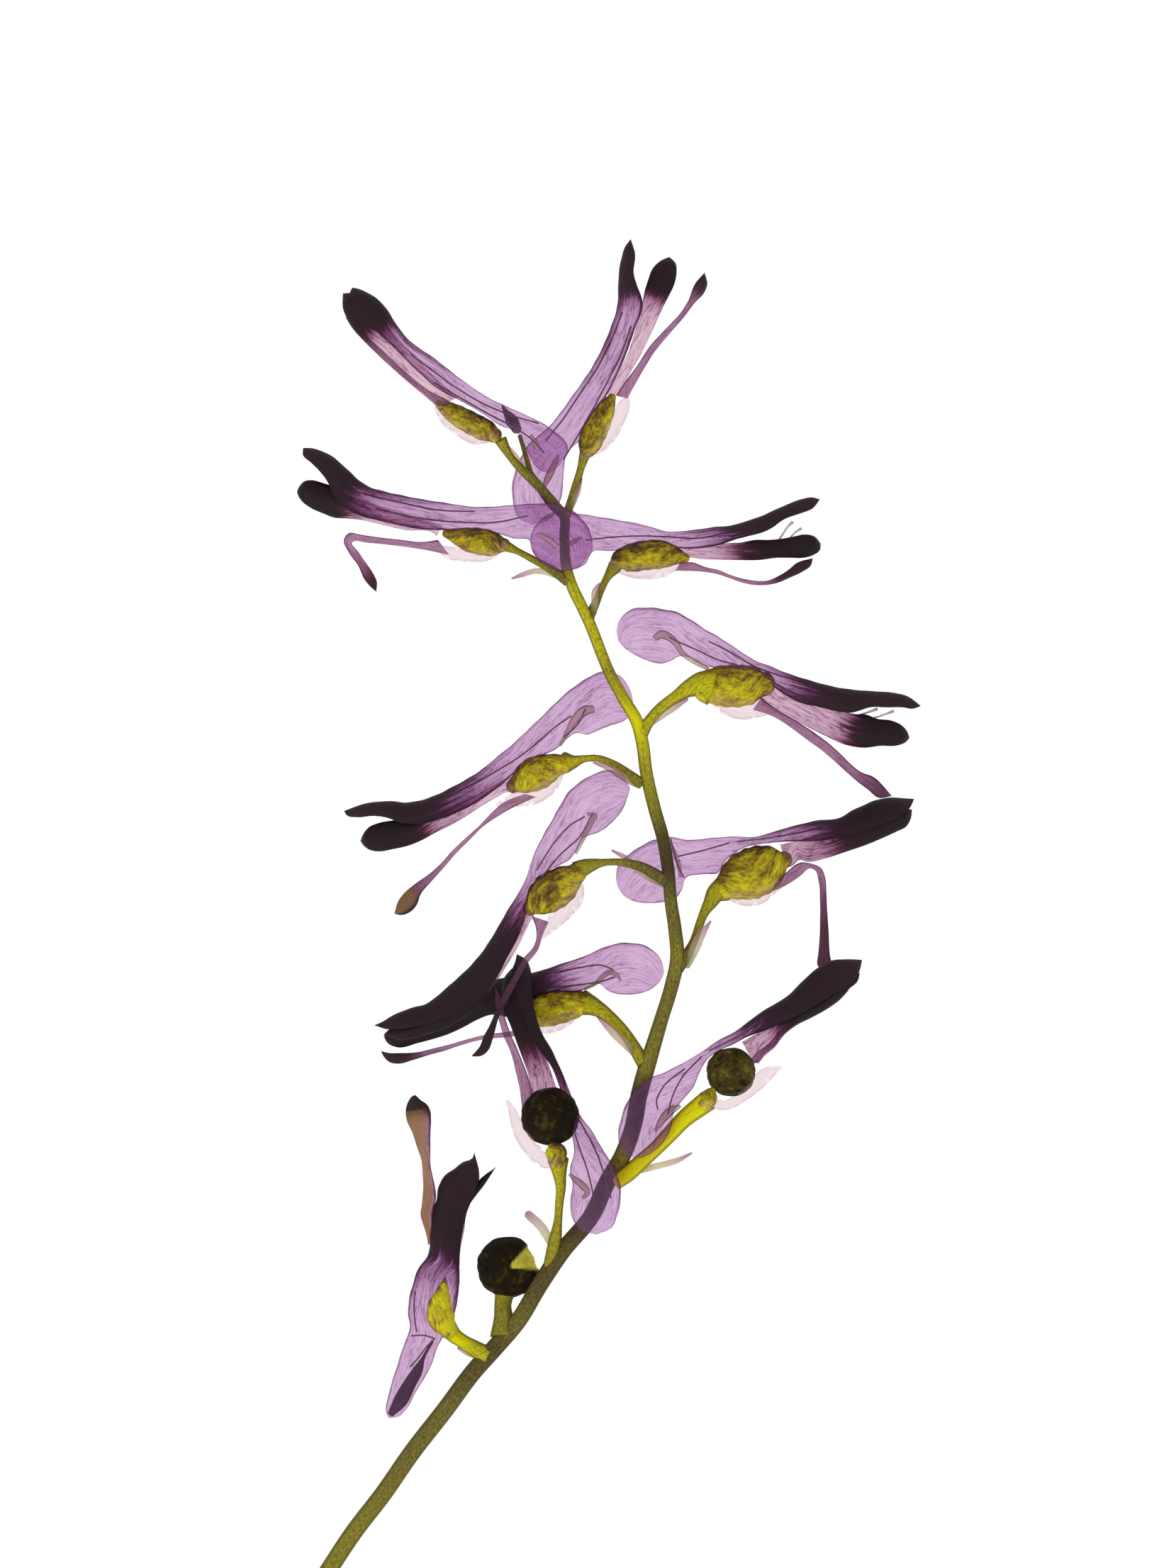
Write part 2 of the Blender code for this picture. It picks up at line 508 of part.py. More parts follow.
def make_flower(number, flower, parts, mats):
    name = "flower_" + number
    height = height_rule(flower)
    loft(name + "_upper_petal", flower["hood"], height, HOOD_DEPTH, HOOD_RATIO, parts, mats["hood"],
         tip=flower["lip_tip"], caps=SPUR_CAP)
    loft(name + "_inner_petals", flower["inner"], height, INNER_DEPTH, INNER_RATIO, parts, mats["inner"])
    loft(name + "_lower_petal", flower["lower"], height, LOWER_DEPTH, LOWER_RATIO, parts, mats["lower"],
         tip=flower["lower_tip"], sides=CLAW_SIDES)
    calyx = loft(name + "_calyx", flower["ovary"], height, OVARY_DEPTH, OVARY_RATIO, parts, mats["calyx"])
    sepal = [(*flower["ovary"][0][:2], SEPAL_BASE_WIDTH)] + flower["sepal"]
    sepals = [leaf(name + side, sepal, height, SEPAL_THICKNESS / 2, parts, lift)
              for side, lift in (("_near_sepal", SEPAL_OFFSET), ("_far_sepal", -SEPAL_OFFSET))]
    fuse(calyx, sepals)
    if "fruit" in flower:
        (x, y), radius = flower["fruit"]
        ball(name + "_fruit", place(x, y, height(x, y)), radius * PIXEL, 0.85, parts, mats["fruit"])


def make_bare_fruit(parts, mat):
    def level(x, y):
        return FRUIT_13_HEIGHT
    fruit = ball("fruit_13", place(*FRUIT_13_CENTRE, FRUIT_13_HEIGHT), FRUIT_13_RADIUS * PIXEL, 0.9, parts, mat)
    beak = loft("beak", FRUIT_13_BEAK, level, HOOD_DEPTH, OVARY_RATIO, parts)
    fuse(fruit, [beak])
    notch = loft("notch", FRUIT_13_NOTCH, level, HOOD_DEPTH, OVARY_RATIO, parts)
    fuse(fruit, [notch], "DIFFERENCE")


def main():
    clear_scene()
    parts = new_collection("fumitory_raceme")
    mats = {
        "hood": material("upper_petal", HOOD_LILAC),
        "inner": material("inner_petals", INNER_ROSE),
        "lower": material("lower_petal", LOWER_MAUVE),
        "calyx": material("calyx", CALYX_OLIVE),
        "fruit": material("fruit", FRUIT_BROWN),
    }
    make_stem(parts)
    for number, flower in FLOWERS.items():
        make_flower(number, flower, parts, mats)
    bud_heights = {point[:2]: point[3] * MM for point in BUD}
    bud_heights[BUD_TIP] = BUD[0][3] * MM
    loft("bud", [point[:3] for point in BUD[::-1]], lambda x, y: bud_heights[(x, y)], INNER_DEPTH, INNER_RATIO,
         parts, material("bud", BUD_PLUM), tip=BUD_TIP)
    make_bare_fruit(parts, mats["fruit"])


main()
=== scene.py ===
"""The looks of the fumitory raceme: thin translucent petals, mottled ovaries and a ribbed stem over the CAD frame.

Every new piece follows the route of the solid that it replaces. Routes are read off a photo taken straight down, so
they are in its pixels, x to the right and y down; heights are in millimetres above the surface.
"""
import math
import bmesh
import bpy
import numpy as np
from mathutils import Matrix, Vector


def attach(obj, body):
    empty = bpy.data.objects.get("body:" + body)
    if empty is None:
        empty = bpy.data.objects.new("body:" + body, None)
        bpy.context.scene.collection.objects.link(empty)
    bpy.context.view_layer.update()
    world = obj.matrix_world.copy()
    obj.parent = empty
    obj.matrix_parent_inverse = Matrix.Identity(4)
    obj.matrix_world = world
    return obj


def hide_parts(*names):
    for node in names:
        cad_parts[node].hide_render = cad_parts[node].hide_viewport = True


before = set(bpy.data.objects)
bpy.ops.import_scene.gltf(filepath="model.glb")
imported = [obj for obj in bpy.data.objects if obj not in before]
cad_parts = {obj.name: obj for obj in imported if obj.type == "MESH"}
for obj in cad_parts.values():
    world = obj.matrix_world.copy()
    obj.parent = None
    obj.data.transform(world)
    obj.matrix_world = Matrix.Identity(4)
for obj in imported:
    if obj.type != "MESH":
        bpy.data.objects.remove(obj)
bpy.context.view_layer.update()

MM = 0.001

# Scale, as in the frame
COROLLA_LENGTH = 10.4 * MM      # largest corolla, from spur to lip
COROLLA_PIXELS = 447            # the same length in the photo
PIXEL = COROLLA_LENGTH / COROLLA_PIXELS
PLANE_CENTRE = (860.6, 1285.9)  # the raceme's middle, in the photo's pixels
PHOTO_SIZE = (1659, 2212)

# Half-depths across the plane, and how much deeper than wide a slender stretch is
HOOD_DEPTH = 0.50 * MM
INNER_DEPTH = 0.36 * MM
LOWER_DEPTH = 0.33 * MM
OVARY_DEPTH = 0.45 * MM
SEPAL_OFFSET = 0.30 * MM
SEPAL_BASE_WIDTH = 7            # pixels
HOOD_RATIO = 1.7
INNER_RATIO = 1.2
LOWER_RATIO = 1.8
OVARY_RATIO = 1.3

# Mesh fineness
STEP = 4                        # pixels between the rings of a petal
CAP_RINGS = 7
EDGE_POINTS = 110               # points that pair a petal's two edges
RING_CROWD = 8                  # pixels from either end where a petal's rings crowd
PETAL_ARC = 29                  # points round a petal's outer wall
POD_ARC = 32
STALK_ARC = 20
LEAF_ARC = 13

# Stem: points as (x, y, radius in pixels, height in millimetres)
RACHIS = [
    (747, 667, 4.5, 2.60), (764, 692, 6, 2.60), (781, 714, 7, 2.60), (795, 728, 7, 2.60), (796, 758, 7, 2.60),
    (799, 800, 7.5, 2.60), (807, 827, 8, 2.60), (820, 854, 8, 2.60), (834, 884, 8, 2.60), (846, 915, 8, 2.60),
    (860, 949, 8, 2.60), (880, 986, 8.5, 2.60), (899, 1019, 9, 2.60), (907, 1052, 9, 2.60), (911, 1085, 9, 2.60),
    (923, 1140, 9, 2.60), (935, 1183, 9, 2.60), (942, 1226, 9, 2.60), (946, 1272, 9, 2.60), (952, 1312, 9.5, 2.60),
    (955, 1352, 10, 2.58), (947, 1392, 10, 2.53), (933, 1438, 10, 2.46), (921, 1478, 11, 2.38),
    (912, 1508, 12, 2.32), (902, 1545, 12, 2.25), (893, 1591, 12, 2.15), (878, 1631, 12, 2.06),
    (857, 1667, 12, 1.97), (835, 1714, 12, 1.86), (793, 1765, 12, 1.74), (760, 1814, 12, 1.62),
    (730, 1864, 12, 1.50), (699, 1900, 12.5, 1.38), (668, 1935, 12.5, 1.24), (629, 1988, 12.5, 1.04),
    (582, 2049, 12.5, 0.82), (541, 2108, 12.5, 0.62), (500, 2161, 12.5, 0.45), (456, 2227, 12.5, 0.285),
]

# How the stem's tone changes down it: y in the photo, fresh green, and purple-brown. The fresh green is partly painted
# glow; the purple-brown is mostly painted shade where spurs lie across the stem, with some of the stem's own flush
STEM_TONES_AND_SHADE = [
    (667, 0.20, 0.15), (714, 0.0, 0.95), (758, 0.0, 0.95), (798, 0.3, 0.5), (812, 0.7, 0.1), (827, 0.95, 0.0), (915, 0.95, 0.0),
    (949, 0.55, 0.15), (986, 1.0, 0.0), (1019, 1.25, 0.0), (1052, 1.0, 0.0), (1085, 0.62, 0.0), (1140, 0.3, 0.0),
    (1183, 0.0, 0.55), (1226, 0.0, 0.7), (1272, 0.1, 0.05), (1312, 0.1, 0.05), (1352, 0.25, 0.0), (1392, 0.12, 0.0),
    (1438, 0.12, 0.0), (1478, 0.2, 0.0), (1508, 0.25, 0.0), (1530, 0.1, 0.4), (1545, 0.0, 0.85), (1591, 0.0, 0.85), (1612, 0.1, 0.4), (1631, 0.25, 0.05),
    (1667, 0.0, 0.85), (1714, 0.0, 0.9), (1745, 0.0, 0.45), (1765, 0.0, 0.3), (1814, 0.0, 0.4), (1864, 0.1, 0.05), (1900, 0.0, 0.45),
    (1935, 0.0, 0.3), (1988, 0.08, 0.0), (2049, 0.08, 0.0), (2108, 0.15, 0.0), (2161, 0.25, 0.0), (2227, 0.25, 0.0),
]

# Veins and folds that show dark in the upper petals, as (x, y): the veins are the petals' own colour, the dark along
# folds is painted shade
VEINS_AND_FOLD_SHADE = {
    "01": [[(768, 640), (752, 622), (724, 603), (690, 585), (650, 562), (612, 540)],
           [(760, 598), (720, 586), (680, 569), (640, 545), (606, 520), (580, 500)]],
    "02": [[(795, 648), (815, 615), (835, 580), (856, 540), (876, 500), (890, 460)],
           [(770, 622), (795, 590), (818, 556), (842, 520), (862, 480), (878, 440)]],
    "03": [[(670, 722), (620, 720), (560, 708), (505, 695)], [(745, 728), (700, 737), (650, 737), (590, 731), (530, 718)]],
    "04": [[(826, 762), (860, 758), (900, 756), (940, 757), (985, 759), (1030, 750)]],
    "05": [[(944, 899), (962, 908), (985, 918), (1010, 930), (1040, 938)],
           [(1000, 905), (1030, 920), (1060, 938), (1090, 950), (1130, 962), (1170, 975)],
           [(1060, 946), (1090, 962), (1120, 978), (1150, 988), (1185, 992)]],
    "06": [[(806, 1010), (785, 1024), (760, 1046), (735, 1066), (705, 1085), (670, 1105), (630, 1125)],
           [(826, 1000), (815, 1022), (795, 1040)]],
    "07": [[(825, 1152), (806, 1163), (781, 1190), (757, 1228)], [(836, 1148), (818, 1180), (790, 1206), (762, 1240)]],
    "08": [[(787, 1372), (824, 1364), (850, 1362), (865, 1368)], [(868, 1378), (850, 1384), (828, 1388), (790, 1392), (760, 1394)]],
    "09": [[(946, 1183), (952, 1206), (957, 1223), (965, 1238)], [(957, 1208), (995, 1199), (1029, 1189)],
           [(1040, 1187), (1080, 1183), (1120, 1176), (1160, 1168)]],
    "10": [[(966, 1507), (934, 1535), (926, 1555), (928, 1565)], [(990, 1490), (962, 1520), (948, 1548), (942, 1572)],
           [(1000, 1482), (1040, 1462), (1080, 1438), (1110, 1420)]],
    "11": [[(862, 1690), (852, 1655), (840, 1622), (824, 1592), (806, 1560)],
           [(838, 1690), (830, 1655), (818, 1620), (808, 1590), (798, 1560)]],
    "12": [[(586, 1822), (584, 1839), (585, 1861), (588, 1880)], [(614, 1888), (601, 1901), (590, 1916), (578, 1929)],
           [(580, 1885), (597, 1884), (612, 1888)]],
}
VEIN_RADIUS = 1.1               # pixels
VEIN_LIFT = 0.26                # millimetres over a petal's middle, near its wall

# Stamens that show, as (x, y, radius in pixels)
STAMENS = {
    "04": [[(1096, 766, 1.3), (1106, 751, 1.3), (1113, 741, 1.4), (1119, 736, 2.2)],
           [(1112, 762, 1.2), (1123, 750, 1.2), (1131, 745, 2.0)]],
    "05": [[(1208, 1010, 1.3), (1224, 1005, 1.3), (1238, 1000, 2.2)],
           [(1228, 1014, 1.2), (1248, 1008, 1.2), (1261, 1003, 2.0)]],
}

BUD = [(715, 583, 5, 2.42), (722, 593, 9, 2.44), (729, 605, 7, 2.46)]
BUD_TIP = (709, 573)
BUD_STALK = [(733, 614, 3, 2.46), (737, 628, 3, 2.50), (742, 645, 3.5, 2.55), (749, 670, 4, 2.60)]

FRUIT_13_CENTRE = (716, 1788)
FRUIT_13_RADIUS = 43
FRUIT_13_HEIGHT = 1.02
FRUIT_13_NOTCH = (21, 25)       # degrees: the way its opening faces, and half of its angle
NOTCH_DEPTH = 0.10              # of the radius
LOBE = (-28, 22, 0.26)          # where its lobe points and half its spread, in degrees, and its reach in radii
DARKEST = 0.90                  # of the petals' ramps, so that the dark tips still vary
FRUIT_13_STALK = [(712, 1822, 14, 1.06), (709, 1842, 12, 1.14), (710, 1860, 14, 1.28), (708, 1886, 17, 1.42)]

# Each flower, its places in the photo's pixels:
# axis and heights: from the spur to the lip's tip, and the heights in millimetres there
# hood, inner, lower: a petal's two edges from base to tip, for hood and lower petal the keel's edge first
# ovary: (x, y, half width) from the receptacle on. sepal: the same, after its base
# stalk, bract: (x, y, radius or half width) from the receptacle to the stem, and from the stem to the bract's tip
# nectary: (x, y, radius). fresh: how green the stalk is at its receptacle and at the stem, partly painted glow, and
# past 0.95 a bright yellow that is all painted glow
# dark: for hood, inner petals and lower petal, how far from its tip it turns purple and is at its darkest
# tip: how dark the lower petal's tip is. tan: how ochre its claw is, and from what share of its length
# lift: the ovary's height over the rest, in mm. strip: how dark the nectary is
FLOWERS = {
    "01": dict(
        axis=((771, 634), (499, 407)), heights=(3.30, 2.50),
        hood=([(776, 668), (790, 656), (801, 629), (786, 612), (771, 601), (731, 581), (692, 563), (654, 538),
               (613, 506), (574, 477), (555, 451), (547, 438), (536, 425), (522, 415), (507, 408), (497, 406)],
              [(776, 668), (762, 664), (747, 643), (738, 624), (730, 611), (706, 601), (680, 583), (650, 566),
               (618, 549), (585, 520), (556, 491), (531, 468), (508, 449), (495, 430), (493, 415), (497, 406)]),
        inner=([(648, 560), (618, 535), (585, 500), (558, 472), (540, 447), (520, 424), (498, 413), (484, 414)],
               [(618, 575), (603, 561), (574, 538), (547, 513), (526, 494), (497, 464), (483, 436), (484, 414)]),
        lower=([(622, 578), (604, 563), (566, 531), (526, 494), (509, 477), (497, 463), (487, 447)],
               [(634, 566), (608, 553), (572, 525), (533, 489), (517, 473), (505, 460), (487, 447)]),
        ovary=[(697, 614, 11), (688, 609, 15), (670, 600, 16), (648, 588, 15), (630, 577, 11), (620, 571, 6)],
        sepal=[(676, 614, 14), (648, 602, 13), (630, 590, 10), (616, 577, 3)],
        stalk=[(706, 621, 9), (718, 642, 5.5), (733, 660, 6), (748, 674, 7), (770, 697, 6.5), (794, 724, 6)],
        bract=[(744, 668, 3), (730, 648, 4), (718, 634, 4), (708, 622, 1.5)],
        nectary=[(748, 614, 2), (753, 621, 3.5), (758, 634, 4)],
        green_and_glow=(0.55, 0.0), dark=((125, 66), (112, 66), (90, 30)),
        tip=0.5,
    ),
    "02": dict(
        axis=((758, 700), (893, 338)), heights=(1.86, 1.00),
        hood=([(752, 740), (734, 733), (723, 703), (728, 660), (745, 628), (776, 600), (807, 559), (838, 513),
               (861, 463), (871, 430), (872, 405), (873, 384), (877, 362), (882, 347), (890, 337)],
              [(752, 740), (776, 732), (792, 700), (795, 667), (801, 637), (817, 622), (833, 594), (851, 566),
               (877, 515), (896, 463), (907, 428), (899, 403), (894, 386), (896, 358), (890, 337)]),
        inner=([(853, 556), (869, 528), (884, 500), (897, 459), (904, 435), (907, 414), (913, 393), (919, 378),
                (931, 367), (944, 362)],
               [(871, 558), (888, 529), (905, 500), (923, 463), (935, 437), (946, 416), (952, 404), (956, 385),
                (954, 371), (944, 362)]),
        lower=([(885, 562), (904, 528), (923, 497), (946, 469), (965, 447), (981, 426), (994, 412), (998, 401),
                (994, 384)],
               [(869, 558), (880, 541), (898, 517), (917, 488), (941, 462), (961, 440), (971, 424), (980, 401),
                (994, 384)]),
        ovary=[(824, 643, 7), (829, 633, 14), (837, 612, 18), (848, 590, 16), (858, 570, 11), (863, 561, 6)],
        sepal=[(852, 618, 14), (868, 592, 13), (880, 572, 9), (886, 561, 3)],
        stalk=[(825, 640, 8), (820, 658, 5.5), (811, 690, 6), (799, 728, 6)],
        bract=[(805, 716, 4), (814, 697, 4), (820, 676, 2)],
        nectary=[(788, 642, 2), (778, 664, 5), (774, 672, 5), (766, 690, 2)],
        green_and_glow=(0.7, 0.25), dark=((120, 72), (105, 58), (75, 12)),
        tip=0.9,
    ),
    "03": dict(
        axis=((796, 762), (428, 634)), heights=(3.34, 2.30),
        hood=([(818, 800), (835, 778), (830, 745), (812, 724), (782, 711), (753, 711), (722, 713), (697, 715),
               (664, 715), (631, 710), (598, 705), (567, 699), (541, 693), (519, 686), (506, 677), (492, 664),
               (479, 652), (466, 642), (450, 635), (438, 632), (428, 632)],
              [(818, 800), (796, 806), (770, 798), (752, 779), (747, 762), (726, 760), (706, 754), (680, 750),
               (650, 749), (620, 748), (594, 747), (567, 742), (532, 734), (506, 727), (488, 718), (476, 707),
               (468, 694), (464, 683), (452, 666), (438, 652), (427, 642), (428, 632)]),
        inner=([(624, 741), (590, 730), (550, 718), (520, 708), (499, 700), (486, 694), (472, 685), (457, 680),
                (440, 676), (430, 678), (423, 685)],
               [(616, 757), (611, 753), (572, 749), (541, 742), (510, 735), (488, 733), (470, 732), (457, 727),
                (437, 718), (424, 707), (419, 694), (423, 685)]),
        lower=([(634, 783), (600, 776), (567, 771), (532, 767), (512, 765), (502, 763), (497, 765), (506, 779),
                (517, 795), (526, 808), (532, 821), (531, 835)],
               [(618, 762), (594, 765), (567, 762), (532, 758), (506, 754), (492, 752), (485, 762), (492, 779),
                (506, 799), (514, 817), (525, 830), (531, 835)]),
        ovary=[(710, 769, 10), (700, 768, 16), (682, 765, 19), (660, 761, 17), (642, 756, 11), (630, 753, 6)],
        sepal=[(688, 782, 9), (660, 784, 9), (634, 780, 9), (616, 773, 4)],
        stalk=[(714, 771, 8), (728, 777, 5), (749, 788, 5), (776, 803, 6), (801, 820, 8)],
        bract=[(792, 814, 5), (776, 808, 5), (754, 806, 4), (737, 811, 3.5), (723, 816, 1.5)],
        nectary=[(756, 754, 2), (772, 760, 4), (786, 772, 4)],
        green_and_glow=(0.6, 0.15), dark=((170, 80), (150, 66), (90, 5)),
        tip=0.75,
    ),
    "04": dict(
        axis=((790, 762), (1156, 706)), heights=(1.20, 0.29),
        hood=([(760, 794), (748, 768), (753, 744), (768, 729), (788, 720), (807, 723), (845, 729), (881, 735),
               (903, 739), (924, 745), (943, 750), (962, 749), (988, 746), (1009, 743), (1031, 741), (1052, 735),
               (1073, 728), (1095, 718), (1116, 709), (1133, 703), (1146, 701), (1157, 704)],
              [(760, 794), (780, 804), (806, 804), (826, 795), (836, 778), (860, 777), (875, 776), (892, 770),
               (913, 765), (935, 765), (954, 772), (967, 774), (988, 773), (1009, 770), (1026, 765), (1037, 761),
               (1056, 756), (1075, 751), (1090, 744), (1105, 733), (1129, 724), (1148, 716), (1157, 704)]),
        inner=([(958, 772), (985, 770), (1009, 768), (1026, 765), (1044, 764), (1065, 760), (1086, 760), (1105, 758),
                (1120, 755), (1135, 752), (1149, 755), (1158, 766)],
               [(964, 788), (975, 787), (988, 789), (1009, 790), (1041, 791), (1073, 791), (1095, 788), (1116, 788),
                (1135, 788), (1148, 784), (1157, 777), (1158, 766)]),
        lower=([(952, 805), (988, 806), (1009, 809), (1031, 816), (1048, 822), (1065, 825), (1082, 825), (1097, 822),
                (1116, 814), (1133, 806), (1144, 798), (1147, 787)],
               [(960, 794), (976, 793), (996, 800), (1014, 804), (1031, 811), (1048, 816), (1065, 819), (1082, 819),
                (1099, 812), (1112, 804), (1124, 794), (1147, 787)]),
        ovary=[(866, 797, 8), (874, 791, 15), (890, 787, 20), (912, 783, 21), (934, 782, 20), (952, 784, 14),
               (966, 787, 7)],
        sepal=[(886, 800, 13), (912, 804, 13), (936, 802, 12), (954, 798, 6)],
        stalk=[(867, 800, 10), (858, 812, 6), (848, 832, 5), (840, 851, 6), (830, 872, 8)],
        bract=[(838, 864, 4), (839, 848, 5), (840, 833, 4.5), (846, 824, 2)],
        nectary=[(820, 758, 2), (806, 766, 3.5), (794, 772, 3.5)],
        green_and_glow=(0.75, 0.1), dark=((235, 100), (230, 90), (130, 40)),
        tip=0.85,
    ),
    "05": dict(
        axis=((907, 893), (1299, 996)), heights=(2.60, 1.85),
        hood=([(872, 904), (870, 890), (873, 877), (881, 866), (893, 859), (911, 857), (932, 859), (953, 863),
               (974, 874), (995, 888), (1016, 900), (1034, 912), (1052, 924), (1067, 933), (1082, 938), (1106, 948),
               (1130, 956), (1154, 963), (1178, 969), (1205, 973), (1232, 975), (1259, 977), (1280, 982),
               (1292, 990), (1299, 996)],
              [(872, 904), (881, 914), (896, 924), (914, 932), (932, 936), (947, 932), (957, 926), (970, 927),
               (992, 938), (1020, 944), (1050, 948), (1075, 956), (1090, 968), (1110, 982), (1130, 992), (1154, 997),
               (1184, 1004), (1204, 1005), (1214, 1002), (1226, 998), (1250, 998), (1274, 998), (1288, 1000),
               (1299, 996)]),
        inner=([(1078, 958), (1100, 966), (1125, 976), (1150, 986), (1178, 997), (1205, 1005), (1223, 1006),
                (1238, 1012), (1259, 1015), (1274, 1023), (1281, 1033), (1283, 1041)],
               [(1074, 996), (1097, 1008), (1118, 1017), (1142, 1029), (1166, 1041), (1193, 1053), (1217, 1057),
                (1241, 1054), (1265, 1053), (1277, 1048), (1283, 1041)]),
        lower=([(1062, 1001), (1091, 1011), (1115, 1026), (1139, 1044), (1160, 1059), (1184, 1080), (1205, 1099),
                (1223, 1113), (1241, 1126), (1258, 1123)],
               [(1074, 984), (1095, 1000), (1118, 1014), (1142, 1029), (1163, 1044), (1184, 1062), (1199, 1077),
                (1214, 1089), (1232, 1096), (1247, 1110), (1258, 1123)]),
        ovary=[(1000, 969, 24), (1012, 968, 28), (1030, 968, 30), (1050, 967, 29), (1066, 965, 25), (1076, 965, 18)],
        sepal=[(1024, 991, 16), (1046, 998, 17), (1068, 999, 14), (1088, 1003, 5)],
        stalk=[(1004, 969, 26), (990, 966, 20), (974, 970, 13.5), (955, 982, 9), (932, 999, 8), (915, 1018, 8),
               (905, 1034, 10)],
        bract=[(916, 1022, 4), (934, 1009, 5), (952, 997, 5), (969, 987, 2)],
        nectary=[(1000, 944, 2.5), (978, 933, 3), (962, 921, 3.5), (953, 907, 4.5), (944, 899, 5.5), (933, 895, 6),
                 (923, 901, 4)],
        green_and_glow=(1.0, 0.8), dark=((300, 118), (165, 72), (150, 10)),
        tip=0.5,
    ),
    "06": dict(
        axis=((853, 990), (485, 1146)), heights=(1.76, 0.22),
        hood=([(893, 1003), (892, 982), (884, 964), (873, 952), (860, 948), (845, 948), (828, 957), (812, 967),
               (795, 981), (778, 997), (761, 1014), (744, 1030), (722, 1051), (702, 1067), (683, 1083), (660, 1098),
               (638, 1110), (616, 1121), (593, 1129), (571, 1132), (551, 1130), (532, 1131), (512, 1134),
               (498, 1139), (485, 1144)],
              [(893, 1003), (880, 1017), (862, 1023), (842, 1031), (830, 1036), (812, 1034), (800, 1042), (788, 1054),
               (765, 1066), (742, 1076), (722, 1094), (702, 1111), (683, 1125), (660, 1139), (638, 1149), (616, 1157),
               (596, 1162), (576, 1162), (562, 1160), (550, 1155), (538, 1152), (526, 1151), (504, 1153),
               (488, 1150), (485, 1144)]),
        inner=([(722, 1094), (690, 1110), (660, 1128), (630, 1143), (600, 1152), (575, 1154), (550, 1156),
                (534, 1159), (520, 1165), (512, 1175), (508, 1186)],
               [(726, 1120), (716, 1118), (702, 1125), (683, 1136), (660, 1151), (638, 1164), (616, 1175),
                (593, 1188), (576, 1195), (554, 1200), (537, 1203), (523, 1201), (513, 1194), (508, 1186)]),
        lower=([(740, 1120), (709, 1133), (694, 1146), (677, 1164), (658, 1181), (638, 1200), (621, 1219),
                (604, 1234), (588, 1245), (571, 1259), (562, 1270), (556, 1289)],
               [(756, 1124), (739, 1132), (722, 1140), (700, 1153), (680, 1167), (663, 1184), (644, 1203),
                (624, 1226), (607, 1245), (593, 1262), (588, 1276), (578, 1287), (562, 1291), (556, 1289)]),
        ovary=[(793, 1078, 14), (784, 1080, 17), (768, 1086, 23), (750, 1094, 24), (735, 1103, 18), (724, 1109, 10)],
        sepal=[(772, 1107, 15), (750, 1121, 15), (728, 1128, 11), (704, 1136, 4)],
        stalk=[(798, 1076, 15), (808, 1075, 10), (822, 1071, 5.5), (843, 1070, 5), (866, 1079, 6), (886, 1092, 7),
               (905, 1106, 8)],
        bract=[(898, 1107, 4), (880, 1097, 5), (862, 1085, 5), (838, 1076, 1.5)],
        nectary=[(790, 1052, 2), (800, 1034, 3.5), (812, 1014, 6), (826, 1002, 7), (838, 1000, 5)],
        green_and_glow=(1.0, 0.35), dark=((290, 105), (190, 78), (130, 22)),
        tip=0.62, tan=(0.75, 0.82),
    ),
    "07": dict(
        axis=((856, 1121), (529, 1445)), heights=(3.05, 3.05),
        hood=([(889, 1112), (880, 1095), (859, 1086), (840, 1091), (820, 1102), (803, 1116), (792, 1133), (781, 1153),
               (770, 1172), (758, 1195), (750, 1214), (743, 1237), (730, 1262), (716, 1284), (700, 1312),
               (680, 1343), (661, 1365), (637, 1387), (620, 1402), (601, 1416), (582, 1421), (563, 1428),
               (549, 1435), (538, 1442), (528, 1446)],
              [(889, 1112), (885, 1125), (877, 1144), (863, 1160), (850, 1171), (836, 1177), (826, 1180), (812, 1201),
               (804, 1212), (790, 1220), (771, 1230), (752, 1244), (745, 1262), (742, 1290), (732, 1320),
               (716, 1350), (700, 1380), (676, 1408), (645, 1428), (610, 1442), (575, 1450), (553, 1452),
               (542, 1451), (534, 1448), (528, 1446)]),
        inner=([(737, 1275), (715, 1318), (690, 1360), (660, 1395), (620, 1425), (580, 1440), (548, 1452),
                (541, 1460)],
               [(755, 1290), (748, 1302), (740, 1319), (732, 1335), (721, 1354), (713, 1367), (697, 1392),
                (672, 1424), (640, 1446), (600, 1461), (565, 1468), (541, 1460)]),
        lower=([(774, 1300), (765, 1321), (760, 1338), (745, 1358), (730, 1385), (717, 1410), (703, 1437),
                (700, 1448), (695, 1466), (690, 1480), (680, 1489), (665, 1490)],
               [(750, 1292), (756, 1308), (757, 1322), (753, 1335), (740, 1350), (722, 1380), (708, 1405),
                (697, 1432), (690, 1448), (682, 1463), (678, 1474), (665, 1490)]),
        ovary=[(812, 1233, 15), (802, 1240, 22), (788, 1251, 27), (772, 1262, 27), (758, 1273, 21), (748, 1281, 11)],
        sepal=[(808, 1264, 16), (794, 1284, 15), (780, 1302, 10), (764, 1322, 3)],
        stalk=[(814, 1229, 14), (824, 1224, 12), (836, 1220, 9), (850, 1217, 5.5), (869, 1216, 5), (886, 1218, 6),
               (905, 1223, 7), (922, 1232, 8), (940, 1243, 8)],
        bract=[(936, 1248, 4), (906, 1232, 5), (882, 1210, 4), (864, 1200, 1.5)],
        nectary=[(812, 1204, 2), (822, 1184, 3), (834, 1162, 3), (840, 1150, 3), (828, 1148, 2)],
        green_and_glow=(0.6, 0.0), dark=((400, 225), (215, 150), (170, 60)),
        tip=0.9,
    ),
    "08": dict(
        axis=((900, 1366), (546, 1446)), heights=(1.35, 0.27),
        hood=([(937, 1372), (934, 1357), (924, 1343), (912, 1335), (898, 1331), (883, 1330), (866, 1332), (844, 1340),
               (822, 1350), (800, 1357), (779, 1364), (757, 1371), (740, 1374), (700, 1382), (660, 1396),
